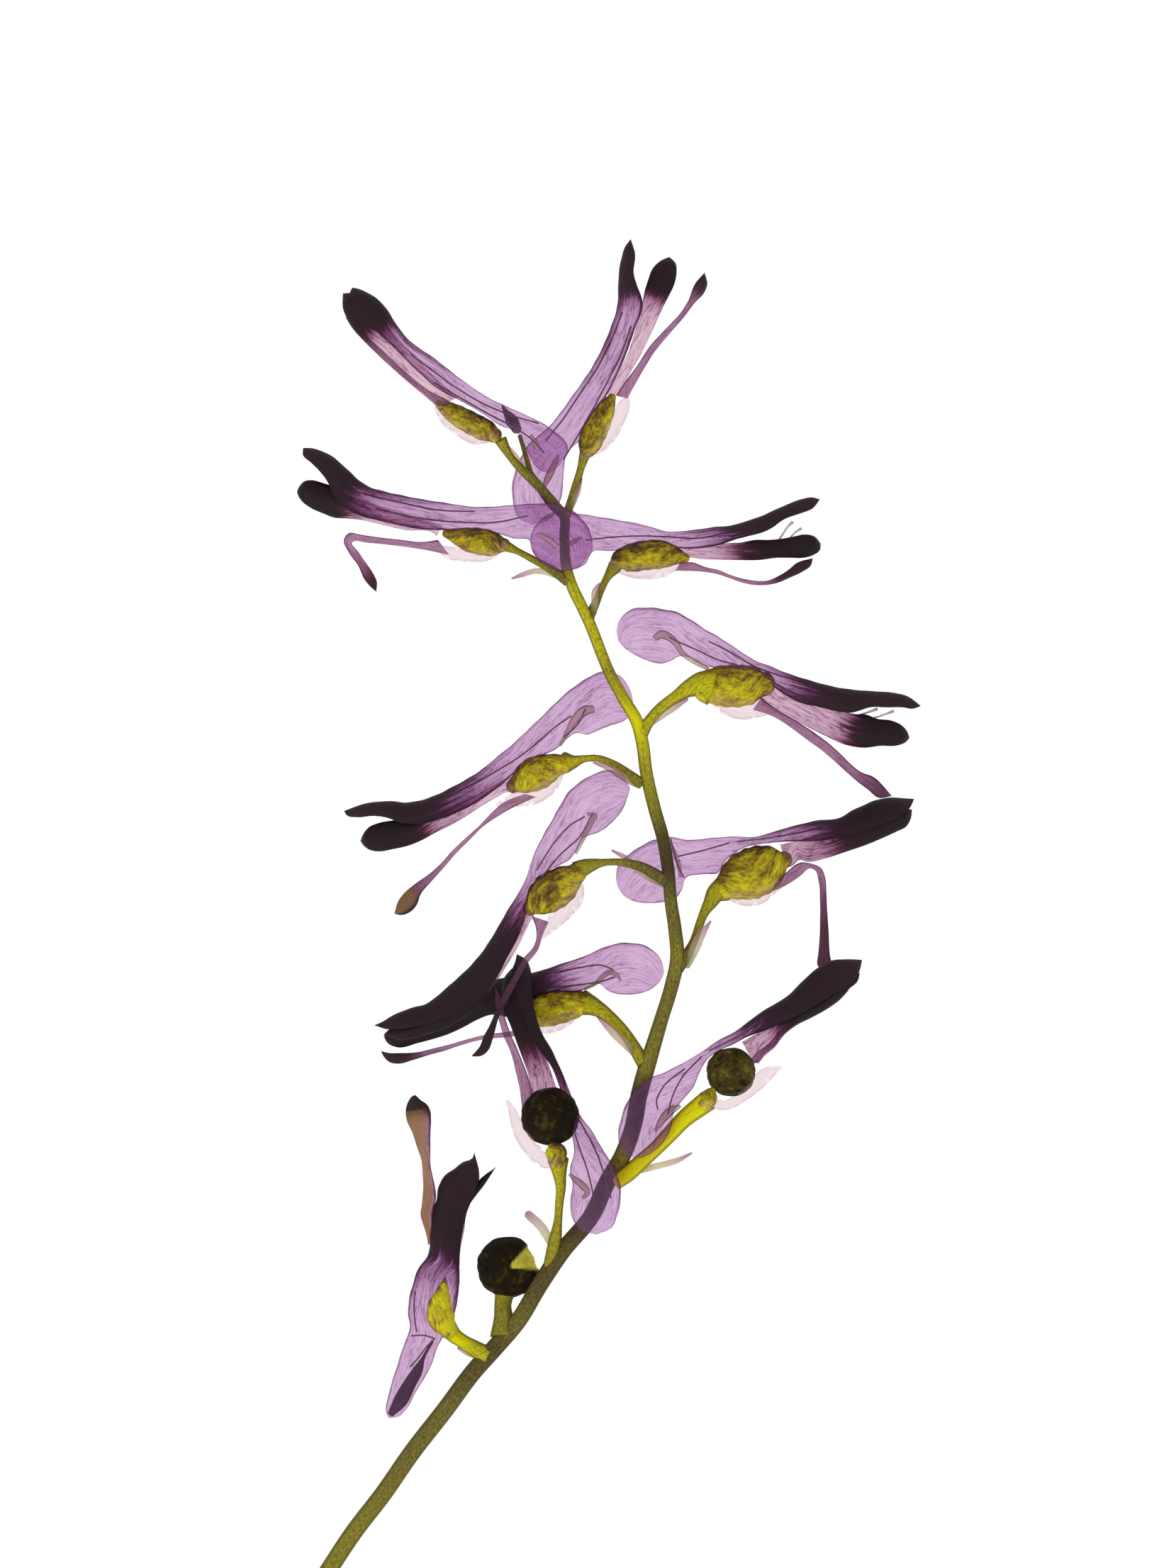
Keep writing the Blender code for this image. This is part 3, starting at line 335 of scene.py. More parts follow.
               (620, 1412), (590, 1426), (562, 1437), (545, 1445)],
              [(937, 1372), (932, 1383), (922, 1393), (911, 1399), (898, 1402), (882, 1403), (866, 1401), (855, 1396),
               (847, 1388), (833, 1392), (820, 1398), (796, 1400), (765, 1403), (740, 1410), (705, 1424),
               (665, 1437), (620, 1450), (580, 1455), (556, 1453), (545, 1445)]),
        inner=([(745, 1398), (710, 1408), (670, 1420), (630, 1433), (590, 1443), (560, 1452), (541, 1462)],
               [(752, 1446), (722, 1438), (691, 1433), (675, 1439), (653, 1451), (631, 1461), (609, 1468), (590, 1473),
                (560, 1479), (546, 1472), (541, 1462)]),
        lower=([(752, 1460), (708, 1464), (680, 1467), (653, 1474), (626, 1483), (604, 1489), (582, 1496),
                (563, 1501), (549, 1499), (541, 1491), (537, 1483)],
               [(752, 1450), (708, 1457), (691, 1459), (664, 1465), (637, 1473), (609, 1480), (587, 1485),
                (563, 1486), (549, 1486), (537, 1483)]),
        ovary=[(820, 1415, 17), (806, 1418, 21), (788, 1421, 24), (768, 1424, 25), (750, 1426, 20), (738, 1427, 10)],
        sepal=[(798, 1432, 15), (774, 1442, 16), (756, 1446, 13), (742, 1444, 5)],
        stalk=[(822, 1415, 18), (834, 1419, 14), (846, 1425, 11), (863, 1438, 9), (880, 1456, 8.5), (893, 1475, 9),
               (908, 1500, 10)],
        bract=[(902, 1492, 5), (884, 1474, 6), (866, 1457, 6), (844, 1435, 2)],
        nectary=[(824, 1396, 2), (840, 1388, 2.5), (850, 1378, 3.5), (860, 1372, 3.5), (869, 1374, 3), (876, 1384, 1.5)],
        green_and_glow=(1.0, 0.6), dark=((335, 235), (262, 212), (110, 30)),
        tip=0.9,
    ),
    "09": dict(
        axis=((911, 1232), (1290, 1128)), heights=(1.76, 0.27),
        hood=([(869, 1240), (870, 1227), (880, 1210), (889, 1204), (903, 1194), (926, 1184), (946, 1181), (972, 1185),
               (995, 1183), (1018, 1181), (1040, 1180), (1063, 1181), (1086, 1175), (1109, 1168), (1132, 1162),
               (1155, 1157), (1184, 1154), (1201, 1144), (1218, 1136), (1238, 1128), (1258, 1125), (1276, 1126),
               (1290, 1127)],
              [(869, 1240), (872, 1252), (882, 1265), (897, 1272), (914, 1274), (937, 1272), (952, 1268), (963, 1252),
               (966, 1240), (995, 1233), (1012, 1232), (1022, 1216), (1036, 1204), (1052, 1195), (1072, 1191),
               (1098, 1188), (1120, 1187), (1160, 1186), (1200, 1178), (1240, 1165), (1268, 1153), (1284, 1140),
               (1290, 1127)]),
        inner=([(1100, 1190), (1120, 1186), (1160, 1174), (1200, 1163), (1240, 1149), (1270, 1139), (1287, 1142)],
               [(1112, 1226), (1120, 1222), (1128, 1214), (1138, 1217), (1167, 1212), (1195, 1203), (1224, 1193),
                (1250, 1182), (1267, 1174), (1279, 1168), (1286, 1155), (1287, 1142)]),
        lower=([(1080, 1262), (1109, 1249), (1129, 1236), (1144, 1225), (1150, 1228), (1155, 1243), (1157, 1272),
                (1157, 1301), (1156, 1329), (1154, 1349), (1153, 1361), (1163, 1372)],
               [(1108, 1232), (1129, 1217), (1147, 1219), (1158, 1224), (1164, 1237), (1166, 1260), (1167, 1283),
                (1169, 1312), (1170, 1335), (1171, 1349), (1173, 1360), (1163, 1372)]),
        ovary=[(1020, 1254, 17), (1031, 1247, 26), (1047, 1238, 34), (1066, 1230, 36), (1084, 1222, 32),
               (1098, 1216, 23), (1106, 1213, 12)],
        sepal=[(1042, 1262, 14), (1064, 1262, 16), (1084, 1254, 13), (1104, 1246, 4)],
        stalk=[(1020, 1254, 18), (1010, 1260, 14), (1002, 1273, 10), (994, 1286, 7), (986, 1306, 6), (978, 1329, 6),
               (968, 1348, 8), (956, 1366, 9)],
        bract=[(970, 1362, 4), (978, 1342, 7), (990, 1317, 6), (1002, 1300, 1.5)],
        nectary=[(960, 1238, 2), (958, 1222, 3), (952, 1204, 3), (946, 1190, 2)],
        green_and_glow=(1.0, 0.05), dark=((290, 80), (215, 95), (260, 60)),
        tip=0.6,
    ),
    "10": dict(
        axis=((894, 1605), (1215, 1353)), heights=(3.05, 2.20),
        hood=([(888, 1632), (875, 1619), (872, 1603), (874, 1586), (880, 1565), (890, 1545), (903, 1531), (918, 1520),
               (936, 1513), (956, 1503), (978, 1491), (1002, 1475), (1017, 1465), (1032, 1458), (1053, 1443),
               (1070, 1430), (1091, 1417), (1108, 1407), (1124, 1392), (1139, 1377), (1154, 1365), (1173, 1355),
               (1192, 1353), (1216, 1354)],
              [(888, 1632), (902, 1633), (916, 1628), (930, 1617), (941, 1603), (947, 1588), (950, 1570), (964, 1550),
               (977, 1535), (987, 1512), (998, 1494), (1014, 1482), (1034, 1473), (1055, 1462), (1078, 1454),
               (1105, 1442), (1135, 1427), (1162, 1411), (1186, 1396), (1205, 1382), (1213, 1368), (1216, 1354)]),
        inner=([(1046, 1468), (1070, 1455), (1100, 1440), (1130, 1422), (1160, 1402), (1190, 1382), (1213, 1372)],
               [(1064, 1502), (1070, 1500), (1078, 1489), (1093, 1477), (1106, 1460), (1124, 1446), (1144, 1436),
                (1164, 1425), (1184, 1411), (1200, 1394), (1210, 1385), (1213, 1372)]),
        lower=([(1070, 1500), (1078, 1490), (1093, 1477), (1106, 1460), (1124, 1446), (1144, 1436), (1164, 1425),
                (1184, 1411), (1198, 1396)],
               [(1058, 1496), (1068, 1484), (1084, 1472), (1099, 1455), (1118, 1441), (1138, 1430), (1159, 1418),
                (1180, 1405), (1198, 1396)]),
        fruit=((1031, 1512), 34.5), fruit_fresh=0.55,
        ovary=[(994, 1556, 12), (1000, 1548, 13), (1003, 1541, 9), (1006, 1536, 4)],
        sepal=[(1026, 1558, 7), (1052, 1543, 8), (1072, 1523, 11), (1088, 1511, 8), (1100, 1506, 2)],
        stalk=[(998, 1552, 15), (985, 1562, 14), (966, 1577, 12.5), (945, 1599, 11.5), (925, 1620, 10.5),
               (905, 1638, 11), (886, 1655, 12), (868, 1667, 12)],
        bract=[(904, 1650, 5), (930, 1644, 4.5), (955, 1637, 4), (975, 1627, 1.5)],
        nectary=[(960, 1560, 2), (950, 1564, 5), (940, 1572, 6), (930, 1586, 4), (924, 1596, 2)],
        green_and_glow=(1.25, 1.15), dark=((310, 140), (220, 115), (130, 40)),
        tip=0.8,
    ),
    "11": dict(
        axis=((841, 1706), (730, 1348)), heights=(3.00, 1.90),
        hood=([(842, 1741), (862, 1732), (873, 1705), (876, 1685), (872, 1660), (862, 1639), (850, 1621), (837, 1598),
               (818, 1572), (805, 1543), (795, 1517), (787, 1499), (777, 1478), (766, 1460), (757, 1435),
               (751, 1405), (750, 1382), (748, 1366), (743, 1354), (729, 1346)],
              [(842, 1741), (820, 1736), (807, 1716), (805, 1691), (808, 1670), (804, 1652), (810, 1625), (806, 1595),
               (800, 1565), (790, 1535), (779, 1507), (764, 1484), (750, 1465), (738, 1440), (730, 1412),
               (724, 1388), (722, 1369), (727, 1356), (729, 1346)]),
        inner=([(792, 1548), (785, 1530), (775, 1500), (762, 1467), (748, 1432), (738, 1398), (732, 1372),
                (722, 1366)],
               [(746, 1553), (747, 1541), (744, 1517), (738, 1499), (729, 1475), (720, 1450), (710, 1425), (706, 1400),
                (710, 1380), (722, 1366)]),
        lower=([(737, 1568), (733, 1535), (727, 1509), (720, 1483), (711, 1463), (704, 1440), (699, 1415),
                (699, 1393)],
               [(752, 1558), (747, 1525), (738, 1500), (729, 1478), (721, 1460), (713, 1437), (709, 1412),
                (699, 1393)]),
        fruit=((776, 1575), 41), fruit_fresh=0.0,
        ovary=[(787, 1638, 12), (785, 1628, 15), (783, 1620, 14), (781, 1614, 8)],
        sepal=[(770, 1638, 10), (748, 1618, 11), (732, 1593, 9), (724, 1570, 6), (716, 1553, 2)],
        stalk=[(787, 1636, 15), (789, 1655, 10), (791, 1676, 7), (789, 1696, 6), (787, 1722, 6), (783, 1749, 9),
               (774, 1787, 8)],
        bract=[(780, 1757, 6), (773, 1745, 6.5), (762, 1729, 6.5), (746, 1714, 6)],
        nectary=[(803, 1656, 2), (812, 1664, 4), (822, 1672, 5), (829, 1682, 4), (822, 1690, 2)],
        green_and_glow=(0.9, 0.45), dark=((360, 140), (230, 100), (120, 20)),
        tip=0.2,
    ),
    "12": dict(
        axis=((556, 1990), (669, 1627)), heights=(0.95, 1.10),
        hood=([(548, 2001), (544, 1990), (548, 1969), (552, 1952), (556, 1940), (563, 1918), (569, 1899), (576, 1882),
               (578, 1871), (576, 1858), (576, 1839), (580, 1820), (585, 1803), (592, 1786), (603, 1773), (606, 1757),
               (607, 1736), (609, 1718), (611, 1702), (616, 1692), (618, 1675), (627, 1659), (642, 1648),
               (654, 1639), (666, 1635), (669, 1626)],
              [(548, 2001), (560, 2000), (575, 1986), (586, 1965), (599, 1944), (610, 1922), (616, 1903), (625, 1886),
               (634, 1868), (642, 1850), (646, 1828), (648, 1807), (648, 1782), (649, 1762), (652, 1740), (655, 1724),
               (658, 1711), (664, 1697), (670, 1680), (676, 1662), (675, 1648), (672, 1637), (669, 1626)]),
        inner=([(638, 1790), (640, 1760), (645, 1730), (650, 1705), (660, 1685), (675, 1665), (687, 1655),
                (695, 1650), (700, 1646)],
               [(648, 1792), (650, 1762), (655, 1737), (658, 1715), (663, 1700), (672, 1687), (683, 1673),
                (692, 1659), (700, 1646)]),
        lower=([(604, 1757), (601, 1741), (596, 1725), (593, 1714), (595, 1700), (596, 1687), (597, 1675), (596, 1657),
                (594, 1635), (589, 1621), (582, 1599), (574, 1581), (572, 1567), (577, 1552), (582, 1546),
                (586, 1545)],
               [(608, 1754), (610, 1735), (610, 1718), (612, 1702), (615, 1691), (614, 1677), (610, 1659),
                (607, 1642), (607, 1621), (607, 1599), (608, 1578), (607, 1568), (602, 1558), (593, 1552),
                (586, 1545)]),
        ovary=[(632, 1876, 13), (624, 1863, 19), (620, 1847, 18), (623, 1830, 13), (626, 1814, 6), (628, 1803, 1.5)],
        sepal=[(616, 1868, 9), (607, 1860, 8), (596, 1848, 2)],
        stalk=[(630, 1872, 14), (641, 1885, 11), (653, 1893, 10), (669, 1903, 12), (690, 1914, 13)],
        bract=[(672, 1912, 5), (660, 1906, 7), (648, 1902, 3)],
        nectary=[(610, 1892, 2), (596, 1918, 3), (590, 1932, 7), (577, 1954, 9), (565, 1976, 10), (550, 1997, 4)],
        green_and_glow=(1.7, 0.9), dark=((230, 150), (150, 70), (50, 28)),
        tip=0.95, tan=(0.7, 0.0), lift=0.30, strip=1.0,
    ),
}


def place(x, y, height):
    """A point of the photo, at a height in millimetres, in the raceme's own frame in metres."""
    return np.array([(x - PLANE_CENTRE[0]) * PIXEL, (PLANE_CENTRE[1] - y) * PIXEL, height * MM])


def height_rule(flower):
    """Heights in millimetres run evenly from the spur to the lip's tip, for every organ of a flower."""
    back, front = flower["heights"]
    start = np.array(flower["axis"][0], float)
    axis = np.array(flower["axis"][1], float) - start

    def height(x, y):
        along = np.dot(np.array([x, y]) - start, axis) / np.dot(axis, axis)
        return back + (front - back) * min(max(along, 0.0), 1.0)
    return height


def smooth(points, step):
    """Resamples rows of numbers, the first two of them x and y in pixels, on a smooth curve through them."""
    rows = np.array(points, float)
    chord = np.concatenate([[0], np.cumsum(np.hypot(*np.diff(rows[:, :2], axis=0).T))])
    slopes = np.gradient(rows, chord, axis=0)
    at = np.linspace(0, chord[-1], max(int(chord[-1] / step), 6) + 1)
    k = np.clip(np.searchsorted(chord, at, side="right") - 1, 0, len(rows) - 2)
    gap = (chord[k + 1] - chord[k])[:, None]
    u = (at - chord[k])[:, None] / gap
    return ((2 * u**3 - 3 * u**2 + 1) * rows[k] + (u**3 - 2 * u**2 + u) * gap * slopes[k]
            + (3 * u**2 - 2 * u**3) * rows[k + 1] + (u**3 - u**2) * gap * slopes[k + 1])


class Sweep:
    """Rings along a route: centres, the direction across, half-widths and half-depths in metres, and where each lies."""

    def __init__(self, route, height, depth, ratio, step=STEP):
        rows = smooth(route, step)
        rows[:, 2] = np.maximum(rows[:, 2], 0.6)
        ends = np.gradient(rows[:, :2], axis=0)
        tangent = ends / np.linalg.norm(ends, axis=1)[:, None]
        turn = np.linspace(0.08, 1, CAP_RINGS, endpoint=False) * math.pi / 2
        first, last = rows[0], rows[-1]
        head = [(*(first[:2] - tangent[0] * first[2] * math.cos(a)), first[2] * math.sin(a)) for a in turn]
        tail = [(*(last[:2] + tangent[-1] * last[2] * math.cos(a)), last[2] * math.sin(a)) for a in turn[::-1]]
        rows = np.vstack([head, rows, tail])
        tangent = np.vstack([[tangent[0]] * CAP_RINGS, tangent, [tangent[-1]] * CAP_RINGS])
        caps = np.concatenate([np.sin(turn), np.ones(len(rows) - 2 * CAP_RINGS), np.sin(turn[::-1])])
        widest = np.concatenate([[first[2]] * CAP_RINGS, rows[CAP_RINGS:-CAP_RINGS, 2], [last[2]] * CAP_RINGS])
        self.pixels = rows
        self.tangent = np.column_stack([tangent[:, 0], -tangent[:, 1], np.zeros(len(rows))])
        self.across = np.column_stack([-self.tangent[:, 1], self.tangent[:, 0], np.zeros(len(rows))])
        self.centre = np.array([place(x, y, height(x, y)) for x, y, _ in rows])
        self.width = rows[:, 2] * PIXEL
        self.depth = np.minimum(depth, widest * PIXEL * ratio) * caps
        steps = np.hypot(*np.diff(rows[:, :2], axis=0).T)
        self.run = np.concatenate([[0], np.cumsum(steps)])
        self.share = self.run / self.run[-1]
        self.to_tip = self.run[-1] - self.run


def even(edge, count):
    """An edge's smooth curve as count points at equal distances, in pixels."""
    fine = smooth([point[:2] for point in edge], 1.0)
    run = np.concatenate([[0], np.cumsum(np.hypot(*np.diff(fine, axis=0).T))])
    at = np.linspace(0, run[-1], count)
    return np.column_stack([np.interp(at, run, fine[:, 0]), np.interp(at, run, fine[:, 1])])


def pair(first, second):
    """Index pairs that walk two edges together, from end to end, by the shortest rungs between them."""
    gaps = np.hypot(*(first[:, None] - second[None]).transpose(2, 0, 1)) ** 2
    best = np.full((len(first) + 1, len(second) + 1), np.inf)
    best[0, 0] = 0
    for i in range(len(first)):
        for j in range(len(second)):
            best[i + 1, j + 1] = gaps[i, j] + min(best[i, j], best[i, j + 1], best[i + 1, j])
    i, j = len(first), len(second)
    path = [(i - 1, j - 1)]
    while (i, j) != (1, 1):
        i, j = min(((i - 1, j - 1), (i - 1, j), (i, j - 1)), key=lambda at: best[at])
        path.append((i - 1, j - 1))
    return np.array(path[::-1], float)


def soften(values, reach):
    """A running mean of rows that keeps both ends."""
    padded = np.vstack([values[:1]] * reach + [values] + [values[-1:]] * reach)
    total = np.cumsum(np.vstack([np.zeros_like(values[:1]), padded]), axis=0)
    mean = (total[2 * reach + 1:] - total[:-2 * reach - 1]) / (2 * reach + 1)
    share = np.minimum(np.arange(len(values)), np.arange(len(values))[::-1])[:, None] / reach
    return values + (mean - values) * np.minimum(share, 1)


class Ribbon:
    """Rings across a petal between its two edges, from base to tip: the same fields as a sweep, +across to the first."""

    def __init__(self, edges, height, depth, ratio, step=STEP):
        first, second = (even(edge, EDGE_POINTS) for edge in edges)
        rungs = soften(pair(first, second), 6)
        order = np.arange(EDGE_POINTS)
        near, far = (np.column_stack([np.interp(rungs[:, k], order, edge[:, axis]) for axis in (0, 1)])
                     for k, edge in enumerate((first, second)))
        steps = (np.hypot(*np.diff(near, axis=0).T) + np.hypot(*np.diff(far, axis=0).T)) / 2
        run = np.concatenate([[0], np.cumsum(steps)])
        ends = RING_CROWD * (1 - np.cos(np.linspace(0, math.pi / 2, CAP_RINGS, endpoint=False)))
        at = np.concatenate([ends, np.linspace(RING_CROWD, run[-1] - RING_CROWD, int(run[-1] / step)),
                             run[-1] - ends[::-1]])
        near, far = (np.column_stack([np.interp(at, run, edge[:, axis]) for axis in (0, 1)]) for edge in (near, far))
        middle, half = (near + far) / 2, (near - far) / 2
        width = np.hypot(*half.T)
        direction = half / np.maximum(width, 1e-6)[:, None]
        direction[0], direction[-1] = direction[1], direction[-2]
        self.pixels = np.column_stack([middle, width])
        self.across = np.column_stack([direction[:, 0], -direction[:, 1], np.zeros(len(at))])
        self.centre = np.array([place(x, y, height(x, y)) for x, y in middle])
        self.width = np.maximum(width, 0.15) * PIXEL
        self.depth = np.minimum(depth, self.width * ratio)
        self.run = at
        self.share = at / at[-1]
        self.to_tip = at[-1] - at


def ramp(value, low, high):
    """0 at low, 1 at high, eased between; low may be the larger."""
    t = np.clip((value - low) / (high - low), 0, 1)
    return t * t * (3 - 2 * t)


def skin(name, rings, attributes, closed=True, poles=True):
    """A mesh over rings of points (rings, points, 3), closed round or an open sheet, with a fan at either end."""
    count, around = rings.shape[:2]
    index = np.arange(count * around).reshape(count, around)
    left, right = (index, np.roll(index, -1, axis=1)) if closed else (index[:, :-1], index[:, 1:])
    faces = np.stack([left[:-1], right[:-1], right[1:], left[1:]], axis=-1).reshape(-1, 4).tolist()
    points = rings.reshape(-1, 3)
    layers = {key: np.broadcast_to(values, (count, around)).ravel() for key, values in attributes.items()}
    if poles:
        for row, ring in ((0, rings[0]), (-1, rings[-1])):
            centre = len(points)
            points = np.vstack([points, ring.mean(axis=0)])
            layers = {key: np.append(values, values[index[row]].mean()) for key, values in layers.items()}
            faces += [(int(a), int(b), centre) for a, b in zip(left[row], right[row])]
    mesh = bpy.data.meshes.new(name)
    mesh.from_pydata(points.tolist(), [], faces)
    for key, values in layers.items():
        layer = mesh.attributes.new(key, "FLOAT", "POINT")
        layer.data.foreach_set("value", values.astype(np.float32))
    bm = bmesh.new()
    bm.from_mesh(mesh)
    bmesh.ops.recalc_face_normals(bm, faces=bm.faces)
    bm.to_mesh(mesh)
    bm.free()
    mesh.shade_smooth()
    return mesh


def add_piece(name, mesh, mat, slot, *nodes):
    obj = bpy.data.objects.new(name, mesh)
    bpy.context.scene.collection.objects.link(obj)
    mesh.materials.append(mat)
    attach(obj, "root")
    if nodes:
        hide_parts(*nodes)
    return obj


def folded_petal(name, sweep, opening, dark, age, ripple=0.0, seed=0, tan=(0.0, 0.0)):
    """A petal folded along its keel. opening is 0 where its margins meet in a bag and 1 where it is a channel."""
    angle = np.linspace(-math.pi, math.pi, PETAL_ARC)
    shut = np.stack([np.cos(angle), np.sin(angle)], axis=-1)
    channel = np.stack([2 * np.cos(angle / 2) - 1, np.sin(angle / 2)], axis=-1)
    section = shut[None] * (1 - opening[:, None, None]) + channel[None] * opening[:, None, None]
    wave = 1 + ripple * np.sin(sweep.run[:, None] * 0.21 + seed + 2.5 * angle[None])
    flat = section[..., 0] * wave * sweep.width[:, None]
    rings = sweep.centre[:, None] + sweep.across[:, None] * flat[..., None]
    rings[..., 2] += section[..., 1] * wave * sweep.depth[:, None]
    rings[..., 2] = np.maximum(rings[..., 2], 0.0)
    attributes = {
        "dark": dark[:, None],
        "keel": np.abs(angle)[None] / math.pi,
        "run": (sweep.run * PIXEL / MM)[:, None],
        "girth": angle[None] * np.maximum(sweep.width, 6 * PIXEL)[:, None] / MM,
        "share": sweep.share[:, None],
        "tan": tan[0] * ramp(sweep.share, tan[1] - 0.05, tan[1] + 0.05)[:, None],
        "seed": np.full((1, 1), float(seed)),
    }
    return skin(name, rings, attributes, closed=False)


def pod(name, sweep, dark, age, pinch=0.0, crest=0.0, lumps=0.0, ribs=0, arc=POD_ARC, seed=0):
    """A closed pod along a route. pinch grooves it in the plane, crest raises a ridge above and below."""
    angle = np.arange(arc) / arc * 2 * math.pi
    edge = np.abs(np.cos(angle))
    form = 1 - pinch * np.exp(-((1 - edge) / 0.05) ** 2) + crest * np.exp(-(edge / 0.22) ** 2)
    form = form[None] + lumps * np.sin(sweep.run[:, None] * 0.37 + 3 * angle[None] + seed)
    if ribs:
        form = form + 0.05 * np.cos(ribs * angle)[None]
    flat = form * np.cos(angle)[None] * sweep.width[:, None]
    rings = sweep.centre[:, None] + sweep.across[:, None] * flat[..., None]
    rings[..., 2] += form * np.sin(angle)[None] * sweep.depth[:, None]
    rings[..., 2] = np.maximum(rings[..., 2], 0.0)
    attributes = {
        "dark": dark[:, None],
        "upper": np.cos(angle)[None] * np.sign(sweep.across[len(sweep.run) // 2, 1]),
        "run": (sweep.run * PIXEL / MM)[:, None],
        "girth": (angle[None] - math.pi) * sweep.width[:, None] / MM,
        "share": sweep.share[:, None],
        "keel": np.full((1, 1), 0.5),
        "seed": np.full((1, 1), float(seed)),
    }
    return skin(name, rings, attributes)


def blade(name, sweep, lift, camber, ragged, rng):
    """A thin leaf on a route, arched across by camber, its margins ragged by a share of its width."""
    over = np.linspace(-1, 1, LEAF_ARC)
    torn = rng.random((len(sweep.run), 2)) < 0.35
    teeth = 1 - ragged * torn * rng.random((len(sweep.run), 2)) ** 2 * (0.4 + sweep.share[:, None])
    reach = np.where(over[None] > 0, teeth[:, :1], teeth[:, 1:]) * over[None]
    arch = camber * (1 - over[None] ** 2) * np.minimum(1, sweep.width[:, None] / (6 * PIXEL))
    rings = sweep.centre[:, None] + sweep.across[:, None] * (reach * sweep.width[:, None])[..., None]
    rings[..., 2] += arch + lift
    rings[..., 2] = np.maximum(rings[..., 2], 0.0)
    attributes = {
        "share": sweep.share[:, None],
        "keel": np.abs(over)[None],
        "run": (sweep.run * PIXEL / MM)[:, None],
        "girth": over[None] * sweep.width[:, None] / MM,
    }
    return skin(name, rings, attributes, closed=False)


def stalk(name, points, ribs, tone, arc=STALK_ARC):
    """A ribbed stalk through (x, y, radius in pixels, height in millimetres). tone gives (dark, fresh) at (x, y)."""
    rows = smooth(points, STEP)
    centre = np.array([place(x, y, h) for x, y, _, h in rows])
    tangent = np.gradient(centre, axis=0)
    tangent /= np.linalg.norm(tangent, axis=1)[:, None]
    across = np.cross([0, 0, 1], tangent)
    across /= np.linalg.norm(across, axis=1)[:, None]
    upward = np.cross(tangent, across)
    angle = np.arange(arc) / arc * 2 * math.pi
    run = np.concatenate([[0], np.cumsum(np.hypot(*np.diff(rows[:, :2], axis=0).T))])
    form = 1 + ribs * np.cos(5 * angle[None] + 0.01 * run[:, None])
    radius = rows[:, 2:3] * PIXEL * form
    rings = centre[:, None] + across[:, None] * (radius * np.cos(angle)[None])[..., None] \
        + upward[:, None] * (radius * np.sin(angle)[None])[..., None]
    rings[..., 2] = np.maximum(rings[..., 2], 0.0)
    tones = np.array([tone(i / (len(rows) - 1), x, y) for i, (x, y) in enumerate(rows[:, :2])])
    attributes = {
        "dark": tones[:, :1],
        "green_and_glow": tones[:, 1:],
        "upper": np.cos(angle)[None],
        "run": (run * PIXEL / MM)[:, None],
        "girth": (angle[None] - math.pi) * rows[:, 2:3] * PIXEL / MM,
    }
    return skin(name, rings, attributes)


def join(name, meshes):
    """One mesh from several with the same attributes."""
    bm = bmesh.new()
    for mesh in meshes:
        bm.from_mesh(mesh)
        bpy.data.meshes.remove(mesh)
    mesh = bpy.data.meshes.new(name)
    bm.to_mesh(mesh)
    bm.free()
    mesh.shade_smooth()
    return mesh


